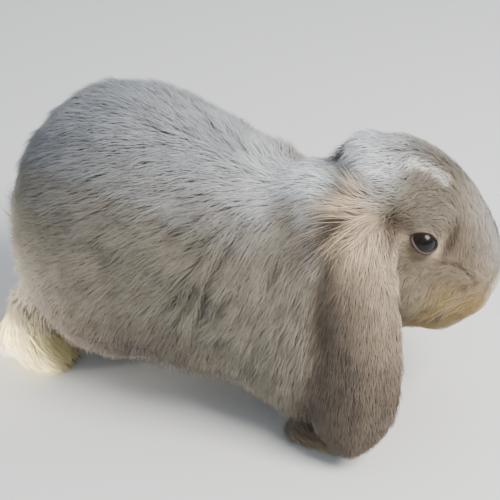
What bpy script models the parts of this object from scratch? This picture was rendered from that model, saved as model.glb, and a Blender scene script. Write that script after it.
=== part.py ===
"""A lop-eared rabbit at life size, caught in a slow step with its head turned a little to its left.

The body is modelled whole, from lofts and ellipsoids that a voxel remesh melts together, and is then
parted by thin cuts into head, neck, trunk and haunches. Ears, eyes, legs, feet and tail are shapes of
their own, trimmed against the body. Every solid reaches out to the tips of the coat.
Metres, +Z up, the rabbit faces +X.
"""

import math

import bmesh
import bpy
import numpy as np
from mathutils import Matrix, Vector

# Driving dimensions
GAP = 0.0004  # left open between two solids that meet
VOXEL, LIMB_VOXEL = 0.0022, 0.0018  # grids that melt the masses into one body or one limb
BODY_SMOOTHING, LIMB_SMOOTHING = 16, 6  # rounds
SMOOTHING = 0.5  # strength of a round
FACE_SHARE, FACE_REACH = 0.35, 0.05  # how much of it the face keeps, and how far round its middle
BODY_TRIANGLES = 2100  # left in the body before it is parted
FORELEG_TRIANGLES, HOCK_TRIANGLES = 320, 360
RING = 18  # points round a loft
BEND_FROM, BEND_TO = 0.15, 0.25  # the stretch of the spine that bends
BEND = math.radians(14)  # how far the spine turns to the left
HEAD_AT = Vector((0.2039, 0.0005, 0.1368))  # back of the skull
HEAD_YAW, HEAD_PITCH, HEAD_ROLL = (math.radians(a) for a in (26, -24, -6))
EYE_AT = Vector((0.0545, 0.0312, 0.0085))  # in the head's frame, left eye
EYE_RADIUS = 0.0092
FACE_AT = (0.075, 0, 0)  # in the head's frame, middle of the part that stays sharp
EAR_HALF_THICKNESS = 0.0046
SIDES = {"right": -1, "left": 1}

# The trunk, by distance along the spine from the rump: its top and belly lines and its half width
TRUNK = {
    "along": (0.000, 0.030, 0.060, 0.090, 0.125, 0.160, 0.190, 0.220, 0.245),
    "top": (0.147, 0.166, 0.176, 0.177, 0.168, 0.155, 0.146, 0.141, 0.128),
    "belly": (0.042, 0.027, 0.016, 0.012, 0.010, 0.010, 0.013, 0.021, 0.040),
    "half_width": (0.056, 0.068, 0.076, 0.079, 0.078, 0.074, 0.067, 0.055, 0.044),
}
RUMP_ROUND, CHEST_ROUND = 0.056, 0.036  # lengths of the rounded ends

# The head, by distance forward from the back of the skull: its profile and its half width
HEAD = {
    "along": (0.000, 0.014, 0.030, 0.046, 0.062, 0.078, 0.092, 0.106, 0.119),
    "top": (0.037, 0.0480, 0.0525, 0.0520, 0.0480, 0.0405, 0.0310, 0.0185, 0.0050),
    "under": (-0.026, -0.037, -0.044, -0.050, -0.055, -0.055, -0.051, -0.043, -0.028),
    "half_width": (0.027, 0.035, 0.0395, 0.0400, 0.0375, 0.0335, 0.0290, 0.0240, 0.0190),
}
SKULL_ROUND, NOSE_ROUND = 0.030, 0.016

# Rounded masses melted into the body: centre, radii, then yaw and pitch in degrees.
# Those of the body are in world axes for the left side, and those of the head in the head's frame.
BODY_MASSES = {
    "haunch": ((0.086, 0.047, 0.079), (0.066, 0.035, 0.061), (0, -16)),
    "shoulder": ((0.198, 0.036, 0.060), (0.042, 0.031, 0.050), (8, 15)),
}
MIDDLE_MASSES = {
    "breast": ((0.228, 0.000, 0.072), (0.030, 0.036, 0.044), (12, 0)),
    "nape": ((0.206, 0.006, 0.112), (0.050, 0.044, 0.044), (20, 0)),
    "left_shank": ((0.082, 0.052, 0.040), (0.052, 0.025, 0.034), (5, 0)),
}
FACE_MASSES = {
    "cheek": ((0.052, 0.020, -0.022), (0.030, 0.022, 0.027), (0, 0)),
    "pad": ((0.097, 0.0125, -0.017), (0.0180, 0.0150, 0.0175), (6, 0)),
    "brow": ((0.058, 0.024, 0.022), (0.020, 0.012, 0.010), (-6, -14)),
    "ear_base": ((0.024, 0.0290, 0.0190), (0.020, 0.0125, 0.0150), (0, 0)),
}
MIDLINE_MASSES = {
    "crown": ((0.022, 0.000, 0.0290), (0.022, 0.0390, 0.0165), (0, 0)),
    "chin": ((0.090, 0.000, -0.0395), (0.019, 0.018, 0.0130), (0, 0)),
    "nose": ((0.110, 0.000, -0.002), (0.0095, 0.0105, 0.0100), (0, 0)),
}

# Limbs: stations of the middle line, then half widths and half heights, for the named side
FORELEGS = {
    "right": {
        "route": ((0.212, -0.034, 0.075), (0.216, -0.040, 0.045), (0.220, -0.042, 0.022)),
        "paw": (0.252, -0.041),
        "heading": 6,
    },
    "left": {
        "route": ((0.206, 0.030, 0.075), (0.206, 0.030, 0.045), (0.208, 0.030, 0.022)),
        "paw": (0.240, 0.033),
        "heading": 6,
    },
}
LEG_RADII = (0.021, 0.0175, 0.0135)
PAW_LENGTH = 0.044
PAW = {
    "back": (0.00, 0.16, 0.36, 0.59, 0.82, 1.00),
    "top": (0.009, 0.0155, 0.0195, 0.022, 0.022, 0.018),
    "half_width": (0.006, 0.0115, 0.0135, 0.0135, 0.012, 0.008),
}
HIND_FEET = {  # the right one stands on its toes and ball, and the left one is flat
    "right": {"toe": (0.059, -0.0535), "heading": -2, "length": 0.052},
    "left": {"toe": (0.122, 0.0490), "heading": 7, "length": 0.094},
}
FOOT = {
    "back": (0.00, 0.08, 0.20, 0.38, 0.56, 0.74, 0.89, 1.00),
    "top": (0.010, 0.0190, 0.025, 0.028, 0.030, 0.030, 0.026, 0.014),
    "half_width": (0.008, 0.0150, 0.0170, 0.0170, 0.0165, 0.0155, 0.0130, 0.0060),
}
HOCK = ((0.032, -0.0535, 0.017), (0.034, -0.0520, 0.034), (0.042, -0.0480, 0.050))
HOCK_RADII = (0.0165, 0.0175, 0.0170)
# The ear: half widths by the share of its length, then how far it stands out as it hangs
EAR = {
    "share": (0.00, 0.13, 0.27, 0.40, 0.54, 0.66, 0.81, 1.00),
    "half_width": (0.011, 0.0125, 0.0165, 0.0202, 0.0243, 0.0265, 0.0270, 0.0255),
}
EAR_HANG = ((0.12, 0.010), (0.36, 0.021), (0.68, 0.033), (1.0, 0.0434))
EAR_SWEEP = 0.0065  # how far back the tip hangs
EAR_TIP_HEIGHT = 0.011
EAR_CURL = 0.006  # how far its edges turn in

# Cuts: ellipsoids round the head and the upper limbs, and a plane between neck and trunk
HEAD_CUT, HEAD_CUT_RADII = (0.064, 0.0, 0.000), (0.079, 0.072, 0.068)
NECK_CUT, NECK_CUT_NORMAL = (0.203, 0.0, 0.115), (0.75, 0.10, 0.65)
LIMB_CUTS = {
    "haunch": ((0.070, 0.070, 0.068), (0.066, 0.042, 0.066)),
    "shoulder": ((0.205, 0.062, 0.070), (0.034, 0.034, 0.046)),
}

SOLE_CUT = 0.0012  # how far a sole is rounded below the flat that it stands on
TAIL_AT, TAIL_RADII = Vector((0.002, 0.000, 0.064)), (0.018, 0.019, 0.028)
TAIL_PITCH = math.radians(12)

COAT = {  # base colour of each kind of sub-part
    "trunk": (0.33, 0.32, 0.31),
    "head": (0.37, 0.34, 0.30),
    "ear": (0.27, 0.23, 0.21),
    "foot": (0.52, 0.47, 0.37),
    "tail": (0.40, 0.39, 0.37),
    "eye": (0.012, 0.010, 0.010),
}


def through(stations, values, at):
    """A smooth curve through values at the stations, read at these places."""
    x, y = np.asarray(stations, float), np.asarray(values, float)
    slope = np.gradient(y, x)
    i = np.clip(np.searchsorted(x, at) - 1, 0, len(x) - 2)
    step = x[i + 1] - x[i]
    t = (at - x[i]) / step
    ends = (1 + 2 * t) * (1 - t) ** 2 * y[i] + t * t * (3 - 2 * t) * y[i + 1]
    slopes = t * (1 - t) ** 2 * slope[i] + t * t * (t - 1) * slope[i + 1]
    return ends + step * slopes


def smooth_step(t):
    t = min(max(t, 0), 1)
    return t * t * (3 - 2 * t)


def heading(along):
    """Which way the spine points in plan, at this distance from the rump."""
    return BEND * smooth_step((along - BEND_FROM) / (BEND_TO - BEND_FROM))


def on_spine(along, height):
    """The point this far along the spine and this high."""
    steps = 60
    at = Vector((0, 0, height))
    for i in range(steps):
        turn = heading(along * (i + 0.5) / steps)
        at += Vector((math.cos(turn), math.sin(turn), 0)) * along / steps
    return at


def turned(yaw=0, pitch=0, roll=0):
    """A turn to the left by yaw, then up by pitch, then about the forward axis by roll."""
    return (
        Matrix.Rotation(yaw, 3, "Z")
        @ Matrix.Rotation(-pitch, 3, "Y")
        @ Matrix.Rotation(roll, 3, "X")
    )


HEAD_TURN = turned(HEAD_YAW, HEAD_PITCH, HEAD_ROLL)


def on_head(along, side, up):
    """A point given forward of the back of the skull, to the left of it and above it."""
    return HEAD_AT + HEAD_TURN @ Vector((along, side, up))


def round_end(distance, length):
    """How much of its full size a section keeps near a rounded end."""
    t = min(max(distance / length, 0), 1)
    return math.sqrt(max(1 - (1 - t) ** 2, 0))


def new_object(name, bm, collection):
    """An object made of this bmesh, with its faces turned outwards."""
    mesh = bpy.data.meshes.new(name)
    bmesh.ops.recalc_face_normals(bm, faces=bm.faces)
    bm.to_mesh(mesh)
    bm.free()
    made = bpy.data.objects.new(name, mesh)
    collection.objects.link(made)
    return made


def loft(name, rings, collection):
    """A closed skin over rings of points, with a fan of faces over each end."""
    bm = bmesh.new()
    rows = [[bm.verts.new(p) for p in ring] for ring in rings]
    for low, high in zip(rows, rows[1:]):
        for i in range(len(low)):
            j = (i + 1) % len(low)
            bm.faces.new((low[i], low[j], high[j], high[i]))
    for row in (rows[0], rows[-1]):
        middle = bm.verts.new(sum((v.co for v in row), Vector()) / len(row))
        for i in range(len(row)):
            bm.faces.new((row[i], row[(i + 1) % len(row)], middle))
    return new_object(name, bm, collection)


def section(centre, side_way, up_way, half_width, up, down, pear=0.0, square=2.2, points=RING):
    """A rounded section; pear makes it wider below than above."""
    ring = []
    for i in range(points):
        a = 2 * math.pi * i / points
        c, s = math.cos(a), math.sin(a)
        across = math.copysign(abs(c) ** (2 / square), c) * half_width * (1 - pear * s)
        high = math.copysign(abs(s) ** (2 / square), s) * (up if s > 0 else down)
        ring.append(centre + side_way * across + up_way * high)
    return ring


def end_spaced(count, length):
    """Stations from end to end, closer together towards both ends."""
    return [0.5 * length * (1 - math.cos(math.pi * (i + 0.35) / (count - 0.3))) for i in range(count)]


def ellipsoid(name, centre, radii, turn, collection, segments=16):
    """An ellipsoid with these radii, turned by this matrix."""
    bm = bmesh.new()
    bmesh.ops.create_uvsphere(bm, u_segments=segments, v_segments=segments * 2 // 3, radius=1)
    place = Matrix.Translation(centre) @ turn.to_4x4() @ Matrix.Diagonal((*radii, 1))
    bmesh.ops.transform(bm, matrix=place, verts=bm.verts)
    return new_object(name, bm, collection)


def trunk_mass(collection):
    total = TRUNK["along"][-1]
    rings = []
    for along in end_spaced(34, total):
        size = round_end(along, RUMP_ROUND) * round_end(total - along, CHEST_ROUND)
        top, belly, wide = (
            float(through(TRUNK["along"], TRUNK[k], along)) for k in ("top", "belly", "half_width")
        )
        middle = 0.47 * top + 0.53 * belly
        side_way = turned(heading(along)) @ Vector((0, 1, 0))
        up_way = Vector((0, 0, 1))
        up, down = (top - middle) * size, (middle - belly) * size
        ring = section(on_spine(along, middle), side_way, up_way, wide * size, up, down, pear=0.08)
        rings.append(ring)
    return loft("trunk_mass", rings, collection)


def head_mass(collection):
    total = HEAD["along"][-1]
    side_way, up_way = HEAD_TURN @ Vector((0, 1, 0)), HEAD_TURN @ Vector((0, 0, 1))
    rings = []
    for along in end_spaced(32, total):
        size = round_end(along, SKULL_ROUND) * round_end(total - along, NOSE_ROUND)
        top, under, wide = (
            float(through(HEAD["along"], HEAD[k], along)) for k in ("top", "under", "half_width")
        )
        middle = 0.3 * top + 0.3 * under
        up, down = (top - middle) * size, (middle - under) * size
        centre = on_head(along, 0, middle)
        rings.append(section(centre, side_way, up_way, wide * size, up, down, pear=0.10))
    return loft("head_mass", rings, collection)


def rounded_masses(collection):
    """Every ellipsoid that is melted into the body."""
    made = []
    world = Matrix.Identity(3)
    for table, turn, place, paired in (
        (BODY_MASSES, world, Vector, True),
        (MIDDLE_MASSES, world, Vector, False),
        (FACE_MASSES, HEAD_TURN, lambda at: on_head(*at), True),
        (MIDLINE_MASSES, HEAD_TURN, lambda at: on_head(*at), False),
    ):
        for name, (at, radii, (yaw, pitch)) in table.items():
            for side_name, side in SIDES.items() if paired else (("middle", 1),):
                own = turned(math.radians(yaw) * side, math.radians(pitch))
                centre = place((at[0], at[1] * side, at[2]))
                made.append(ellipsoid(f"{name}_{side_name}", centre, radii, turn @ own, collection))
    return made


def evaluated_copy(source, name, collection):
    """A plain mesh object of the source with its modifiers applied."""
    graph = bpy.context.evaluated_depsgraph_get()
    mesh = bpy.data.meshes.new_from_object(source.evaluated_get(graph))
    mesh.name = name
    made = bpy.data.objects.new(name, mesh)
    collection.objects.link(made)
    return made


def joined(name, parts, collection):
    """One object of several meshes, which are removed."""
    bm = bmesh.new()
    for part in parts:
        bm.from_mesh(part.data)
        bpy.data.objects.remove(part)
    return new_object(name, bm, collection)


def melted(name, masses, voxel, rounds, triangles, collection, sharp_at=None):
    """One smooth body out of overlapping masses; near sharp_at it is smoothed less."""
    rough = joined("rough", masses, collection)
    rough.modifiers.new("melt", "REMESH").voxel_size = voxel
    dense = evaluated_copy(rough, "dense", collection)
    soft = dense.vertex_groups.new(name="soft")
    for v in dense.data.vertices:
        far = smooth_step((v.co - sharp_at).length / FACE_REACH - 1) if sharp_at else 1
        soft.add([v.index], FACE_SHARE + (1 - FACE_SHARE) * far, "REPLACE")
    smooth = dense.modifiers.new("smooth", "SMOOTH")
    smooth.factor, smooth.iterations, smooth.vertex_group = SMOOTHING, rounds, "soft"
    even = evaluated_copy(dense, "even", collection)
    fewer = even.modifiers.new("fewer", "DECIMATE")
    fewer.use_collapse_triangulate = True
    fewer.ratio = triangles / (2 * len(even.data.polygons))
    body = evaluated_copy(even, name, collection)
    for helper in (rough, dense, even):
        bpy.data.objects.remove(helper)
    body.vertex_groups.clear()
    return body


def kept_side(source, name, point, normal, collection, gap=GAP):
    """A copy of the source, keeping what lies on the normal's side of a plane, closed flat."""
    bm = bmesh.new()
    bm.from_mesh(source.data)
    normal = Vector(normal).normalized()
    cut = bmesh.ops.bisect_plane(
        bm,
        geom=[*bm.verts, *bm.edges, *bm.faces],
        plane_co=Vector(point) + normal * gap / 2,
        plane_no=normal,
        clear_inner=True,
    )
    rim = [e for e in cut["geom_cut"] if isinstance(e, bmesh.types.BMEdge)]
    bmesh.ops.holes_fill(bm, edges=rim, sides=0)
    return new_object(name, bm, collection)


def carved(source, cutter, operation, name, collection):
    """The source without the cutter's space, or only what is inside it."""
    knife = source.modifiers.new("carve", "BOOLEAN")
    knife.object, knife.operation = cutter, operation
    made = evaluated_copy(source, name, collection)
    source.modifiers.remove(knife)
    return made


def grown(source, by, name, collection):
    """A copy of the source with its surface moved out by this much."""
    swell = source.modifiers.new("swell", "DISPLACE")
    swell.strength, swell.mid_level = by, 0
    made = evaluated_copy(source, name, collection)
    source.modifiers.remove(swell)
    return made


def tube(name, route, radii, collection):
    """A round limb along these points, thinning from the first radius to the last."""
    points = [Vector(p) for p in route]
    count = 9
    share = np.linspace(0, 1, count)
    marks = np.linspace(0, 1, len(points))
    line = [Vector([float(through(marks, [p[k] for p in points], t)) for k in range(3)]) for t in share]
    rings = []
    for i, t in enumerate(share):
        ahead = (line[min(i + 1, count - 1)] - line[max(i - 1, 0)]).normalized()
        side_way = ahead.cross(Vector((1, 0, 0))).normalized()
        front_way = side_way.cross(ahead)
        radius = float(through(marks, radii, t))
        rings.append(section(line[i], side_way, front_way, radius * 0.9, radius, radius))
    return loft(name, rings, collection)


def foot_shape(name, table, toe, toward, length, collection):
    """A foot or paw, from its toes back."""
    forward = turned(math.radians(toward)) @ Vector((1, 0, 0))
    left = turned(math.radians(toward)) @ Vector((0, 1, 0))
    rings = []
    for back in end_spaced(11, length):
        share = back / length
        top, wide = (float(through(table["back"], table[k], share)) for k in ("top", "half_width"))
        low = -SOLE_CUT + 0.006 * (2 - round_end(back, 0.008) - round_end(length - back, 0.010))
        middle = 0.55 * low + 0.45 * top
        centre = Vector((*toe, middle)) - forward * back
        up, down = top - middle, middle - low
        rings.append(section(centre, left, Vector((0, 0, 1)), wide, up, down, square=2.5))
    return loft(name, rings, collection)


def ear_shape(name, side, collection):
    """A lop ear: out of the skull, over a short fold, and down past the cheek to the floor."""
    forward = turned(HEAD_YAW) @ Vector((1, 0, 0))
    outward = turned(HEAD_YAW) @ Vector((0, side, 0))
    root = on_head(0.024, 0.022 * side, 0.016)
    fold = on_head(0.0185, 0.037 * side, 0.0150)
    drop = fold.z - EAR_TIP_HEIGHT
    route = [root, fold]
    for share, out in EAR_HANG:
        route.append(fold + outward * out - forward * EAR_SWEEP * share - Vector((0, 0, drop * share)))
    marks = np.array([0.0, 0.13, 0.25, 0.45, 0.72, 1.0])
    count = 17
    share = 1 - (1 - np.linspace(0, 1, count)) ** 1.25
    line = [Vector([float(through(marks, [p[k] for p in route], t)) for k in range(3)]) for t in share]
    rings = []
    for i, t in enumerate(share):
        along = (line[min(i + 1, count - 1)] - line[max(i - 1, 0)]).normalized()
        wide_way = (forward - along * forward.dot(along)).normalized()
        out_way = wide_way.cross(along) * side
        tip = round_end(1.004 - t, 0.22)
        wide = float(through(EAR["share"], EAR["half_width"], t)) * tip
        thick = EAR_HALF_THICKNESS * round_end(1.03 - t, 0.16)
        curl = EAR_CURL * smooth_step(t / 0.4) * tip
        ring = []
        for j in range(RING):
            a = 2 * math.pi * j / RING
            bow = -curl * math.cos(a) ** 2
            at = line[i] + wide_way * wide * math.cos(a)
            ring.append(at + out_way * (thick * math.sin(a) * (1 - 0.45 * math.cos(a) ** 4) + bow))
        rings.append(ring)
    return loft(name, rings, collection)


def finished(source, name, kind, collection):
    """The source as a sub-part of the rabbit: named, coloured and shaded smooth."""
    part = evaluated_copy(source, name, collection)
    material = bpy.data.materials.new(name)
    material.use_nodes = True
    shader = material.node_tree.nodes["Principled BSDF"]
    shader.inputs["Base Color"].default_value = (*COAT[kind], 1)
    shader.inputs["Roughness"].default_value = 0.08 if kind == "eye" else 0.9
    shader.inputs["Metallic"].default_value = 0
    part.data.materials.clear()
    part.data.materials.append(material)
    part.data.shade_smooth()
    part.data.set_sharp_from_angle(angle=math.radians(40))
    return part


def rested(collections):
    """Moves everything so that the middle of the rabbit's own box is over the origin."""
    bpy.context.view_layer.update()
    corners = [Vector(c) for part in collections[0].objects for c in part.bound_box]
    low = [min(c[k] for c in corners) for k in range(3)]
    high = [max(c[k] for c in corners) for k in range(3)]
    shift = Matrix.Translation((-(low[0] + high[0]) / 2, -(low[1] + high[1]) / 2, -low[2]))
    for collection in collections:
        for part in collection.objects:
            part.data.transform(shift)


def main():
    for old in list(bpy.data.objects):
        bpy.data.objects.remove(old)
    rabbit = bpy.data.collections.new("rabbit")
    cutters = bpy.data.collections.new("cutters")
    for made in (rabbit, cutters):
        bpy.context.scene.collection.children.link(made)

    masses = [trunk_mass(cutters), head_mass(cutters)] + rounded_masses(cutters)
    body = melted("body", masses, VOXEL, BODY_SMOOTHING, BODY_TRIANGLES, cutters, sharp_at=on_head(*FACE_AT))
    body_space = grown(body, GAP, "body_space", cutters)

    for side_name, side in SIDES.items():
        socket = ellipsoid(
            f"socket_{side_name}",
            on_head(EYE_AT.x, EYE_AT.y * side, EYE_AT.z),
            [EYE_RADIUS + GAP] * 3,
            HEAD_TURN,
            cutters,
        )
        eye = ellipsoid(
            f"ball_{side_name}",
            on_head(EYE_AT.x, EYE_AT.y * side, EYE_AT.z),
            [EYE_RADIUS] * 3,
            HEAD_TURN,
            cutters,
        )
        finished(eye, f"eye_{side_name}", "eye", rabbit)
        body = carved(body, socket, "DIFFERENCE", "body", cutters)

    around_head = ellipsoid("around_head", on_head(*HEAD_CUT), HEAD_CUT_RADII, HEAD_TURN, cutters)
    beyond_head = grown(around_head, GAP, "beyond_head", cutters)
    head = carved(body, around_head, "INTERSECT", "skull", cutters)
    rest = carved(body, beyond_head, "DIFFERENCE", "rest", cutters)
    finished(head, "head", "head", rabbit)
    normal = Vector(NECK_CUT_NORMAL)
    finished(kept_side(rest, "throat", NECK_CUT, normal, cutters), "neck", "trunk", rabbit)
    trunk = kept_side(rest, "torso", NECK_CUT, -normal, cutters)
    for side_name, side in SIDES.items():
        for name, (at, radii) in LIMB_CUTS.items():
            centre = Vector((at[0], at[1] * side, at[2]))
            around = ellipsoid(f"around_{name}", centre, radii, Matrix.Identity(3), cutters)
            beyond = grown(around, GAP, f"beyond_{name}", cutters)
            limb = carved(trunk, around, "INTERSECT", f"{name}_cap", cutters)
            trunk = carved(trunk, beyond, "DIFFERENCE", "torso", cutters)
            finished(limb, f"{name}_{side_name}", "trunk", rabbit)
    finished(trunk, "trunk", "trunk", rabbit)

    for side_name, side in SIDES.items():
        leg = FORELEGS[side_name]
        paw = foot_shape("paw", PAW, leg["paw"], leg["heading"], PAW_LENGTH, cutters)
        shank = tube("shank", leg["route"], LEG_RADII, cutters)
        masses = [paw, shank]
        foreleg = melted("foreleg", masses, LIMB_VOXEL, LIMB_SMOOTHING, FORELEG_TRIANGLES, cutters)
        foreleg = kept_side(foreleg, "foreleg", (0, 0, 0), (0, 0, 1), cutters, gap=0)
        foreleg = carved(foreleg, body_space, "DIFFERENCE", "foreleg", cutters)
        finished(foreleg, f"foreleg_{side_name}", "foot", rabbit)
        place = HIND_FEET[side_name]
        foot = foot_shape("foot", FOOT, place["toe"], place["heading"], place["length"], cutters)
        if side_name == "right":
            hock = tube("hock", HOCK, HOCK_RADII, cutters)
            foot = melted("foot", [foot, hock], LIMB_VOXEL, LIMB_SMOOTHING, HOCK_TRIANGLES, cutters)
        foot = kept_side(foot, "foot", (0, 0, 0), (0, 0, 1), cutters, gap=0)
        foot = carved(foot, body_space, "DIFFERENCE", "foot", cutters)
        finished(foot, f"hind_foot_{side_name}", "foot", rabbit)
        ear = carved(ear_shape("lop", side, cutters), body_space, "DIFFERENCE", "lop", cutters)
        finished(ear, f"ear_{side_name}", "ear", rabbit)

    scut = ellipsoid("scut", TAIL_AT, TAIL_RADII, turned(pitch=TAIL_PITCH), cutters)
    finished(carved(scut, body_space, "DIFFERENCE", "scut", cutters), "tail", "tail", rabbit)
    for cutter in cutters.objects:
        cutter.hide_render, cutter.display_type = True, "WIRE"
    rested((rabbit, cutters))


main()
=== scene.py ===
import math

import bmesh
import bpy
import numpy as np
from mathutils import Matrix, Vector
from mathutils.bvhtree import BVHTree


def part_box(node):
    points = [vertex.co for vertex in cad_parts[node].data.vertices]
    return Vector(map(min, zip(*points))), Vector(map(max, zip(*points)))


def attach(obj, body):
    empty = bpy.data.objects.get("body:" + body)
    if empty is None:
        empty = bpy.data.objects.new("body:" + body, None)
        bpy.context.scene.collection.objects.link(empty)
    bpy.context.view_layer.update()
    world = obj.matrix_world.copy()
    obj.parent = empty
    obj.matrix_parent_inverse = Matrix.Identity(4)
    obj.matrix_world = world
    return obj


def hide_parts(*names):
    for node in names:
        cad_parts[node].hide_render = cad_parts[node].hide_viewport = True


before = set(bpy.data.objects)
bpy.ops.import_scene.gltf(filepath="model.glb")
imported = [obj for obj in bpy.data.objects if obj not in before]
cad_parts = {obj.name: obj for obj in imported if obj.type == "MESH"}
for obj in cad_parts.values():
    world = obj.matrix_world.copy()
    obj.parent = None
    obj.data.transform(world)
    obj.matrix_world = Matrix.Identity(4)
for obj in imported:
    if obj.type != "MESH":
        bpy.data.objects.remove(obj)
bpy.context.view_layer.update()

sides = {"right": -1, "left": 1}
cadGroups = {
    "body": ["trunk", "neck", "haunch_left", "haunch_right", "shoulder_left", "shoulder_right"],
    "head": ["head"],
    "ear": ["ear_left", "ear_right"],
    "foot": ["foreleg_left", "foreleg_right", "hind_foot_left", "hind_foot_right"],
    "tail": ["tail"],
}


def smoothRamp(values, low, high):
    t = np.clip((values - low) / (high - low), 0, 1)
    return t * t * (3 - 2 * t)


def unit(vectors):
    return vectors / np.maximum(np.linalg.norm(vectors, axis=-1, keepdims=True), 1e-12)


def arraysOf(mesh):
    places = np.empty(len(mesh.vertices) * 3, np.float32)
    mesh.vertices.foreach_get("co", places)
    normals = np.empty(len(mesh.vertices) * 3, np.float32)
    mesh.vertices.foreach_get("normal", normals)
    edges = np.empty(len(mesh.edges) * 2, np.int32)
    mesh.edges.foreach_get("vertices", edges)
    return places.reshape(-1, 3).astype(float), normals.reshape(-1, 3).astype(float), edges.reshape(-1, 2)


def placeVertices(mesh, places):
    mesh.vertices.foreach_set("co", places.astype(np.float32).ravel())
    mesh.update()


def neighbourMean(values, edges):
    count = len(values)
    degree = np.bincount(edges.ravel(), minlength=count)
    total = np.zeros_like(values)
    for here, there in ((0, 1), (1, 0)):
        for k in range(values.shape[1]):
            total[:, k] += np.bincount(edges[:, here], values[edges[:, there], k], count)
    return total / np.maximum(degree, 1)[:, None]


def evened(values, edges, rounds, factor=0.5):
    flat = values.ndim == 1
    values = values[:, None] if flat else values
    for _ in range(rounds):
        values = values + factor * (neighbourMean(values, edges) - values)
    return values[:, 0] if flat else values


def plainMesh(source, name):
    # the evaluated shape as a mesh of its own, with the source removed
    graph = bpy.context.evaluated_depsgraph_get()
    mesh = bpy.data.meshes.new_from_object(source.evaluated_get(graph))
    mesh.name = name
    bpy.data.objects.remove(source)
    return newObject(name, mesh)


def newObject(name, mesh):
    made = bpy.data.objects.new(name, mesh)
    bpy.context.scene.collection.objects.link(made)
    return made


def setAttribute(mesh, name, values, kind="FLOAT"):
    made = mesh.attributes.get(name) or mesh.attributes.new(name, kind, "POINT")
    key = "vector" if kind == "FLOAT_VECTOR" else "value"
    made.data.foreach_set(key, np.asarray(values, np.float32).ravel())


def attributeOf(mesh, name):
    column = np.empty(len(mesh.vertices), np.float32)
    mesh.attributes[name].data.foreach_get("value", column)
    return column


def alongPath(path, count):
    # evenly many places on the straight runs between a path's knots
    knots = np.array(path, float)
    steps = np.linspace(0, len(knots) - 1, count)
    return np.stack([np.interp(steps, range(len(knots)), knots[:, k]) for k in range(3)], axis=1)


headPlace = {"yaw": 26, "pitch": -24, "roll": -6, "eyeForward": 0.0545, "eyeUp": 0.0085}


def turned(yaw, pitch, roll):
    yaw, pitch, roll = math.radians(yaw), math.radians(pitch), math.radians(roll)
    return Matrix.Rotation(yaw, 3, "Z") @ Matrix.Rotation(-pitch, 3, "Y") @ Matrix.Rotation(roll, 3, "X")


def middleOf(node):
    low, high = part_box(node)
    return (low + high) / 2


headTurn = turned(headPlace["yaw"], headPlace["pitch"], headPlace["roll"])
eyeMiddles = {side: middleOf(f"eye_{side}") for side in sides}
headAt = (eyeMiddles["left"] + eyeMiddles["right"]) / 2
headAt -= headTurn @ Vector((headPlace["eyeForward"], 0, headPlace["eyeUp"]))


def toHead(places):
    # millimetres forward, left and up from the back of the skull
    return (places - np.array(headAt)) @ np.array(headTurn) * 1000


def fromHead(places):
    return np.asarray(places, float) / 1000 @ np.array(headTurn).T + np.array(headAt)


eyeMake = {  # millimetres and degrees
    "look": (0.22, 1.0, 0.22),  # out of the head, for the left eye
    "tilt": -6,
    "backward": 1.2,  # the opening's middle lies behind the ball's
    "halfLength": 8.4,
    "upper": 5.0,
    "lower": 4.7,
    "corner": 1.75,  # power of the opening's outline, below 2 for pointed corners
    "reach": 4,  # nothing further out than this belongs to the eye
    "rim": 0.9,  # height of the lids over the ball
    "rimWidth": 0.9,
    "sunk": 1.5,  # depth of the skin behind the ball's front
    "edge": (-0.9, 0.3),  # where the skin rises to the rim
    "blend": 6.5,
    "clear": 0.5,
    "widest": 1.5,  # radians from the look
}
low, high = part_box("eye_left")
eyeRadius = (high - low).x * 500


def eyeAxes(side):
    look = unit(np.array(eyeMake["look"]) * (1, sides[side], 1))
    tilt = math.radians(eyeMake["tilt"])
    front = np.array((math.cos(tilt), 0, math.sin(tilt)))
    front = unit(front - look * (front @ look))
    return look, front, np.cross(front, look) * sides[side]


def aroundEye(head, side):
    # how far each place is past the edge of the lids, its distance and its way from the ball's middle
    look, front, up = eyeAxes(side)
    apart = head - toHead(np.array(eyeMiddles[side]))
    distance = np.linalg.norm(apart, axis=1)
    angle = np.arccos(np.clip(apart @ look / np.maximum(distance, 1e-6), -1, 1))
    flat = unit(np.stack([apart @ front, apart @ up], axis=1)) * (angle * eyeRadius)[:, None]
    flat[:, 0] += eyeMake["backward"]
    half = np.where(flat[:, 1] > 0, eyeMake["upper"], eyeMake["lower"])
    power = eyeMake["corner"]
    lengthwise, upright = np.abs(flat[:, 0] / eyeMake["halfLength"]), np.abs(flat[:, 1] / half)
    reach = (lengthwise**power + upright**power)**(1 / power)
    past = np.linalg.norm(flat, axis=1) * (1 - 1 / np.maximum(reach, 1e-4))
    return np.maximum(past, distance - eyeRadius - eyeMake["reach"]), distance, apart, angle


skinMake = {
    "swell": 0.0006,  # closes the thin cuts between the nodes
    "voxel": 0.0019,
    "roundings": 44,  # takes out the facets
    "inward": 0.5,
    "growBack": -0.53,
    "sparedEar": 0.6,  # ears and feet are rounded less
    "sparedFoot": 0.5,
    "blendRounds": 14,
    "nodeSearch": 0.004,
    "depthRounds": 10,
    "wayRounds": 8,
    "lastRounds": 3,
    "lastFactor": 0.35,
}

coatDepth = {"body": 0.0085, "ear": 0.0011, "foot": 0.0028, "tail": 0.0095, "sole": 0.0007}
thinToLids = (-1, 9)  # the coat's depth grows over these millimetres from the lids
soleFacing = (0.3, 0.8)  # how far a sole looks down
headForward = (0, 25, 45, 65, 85, 105, 118)  # where the head's own values are given, in millimetres
headDepth = (0.0075, 0.0058, 0.0042, 0.0030, 0.0022, 0.0014, 0.0009)


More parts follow.
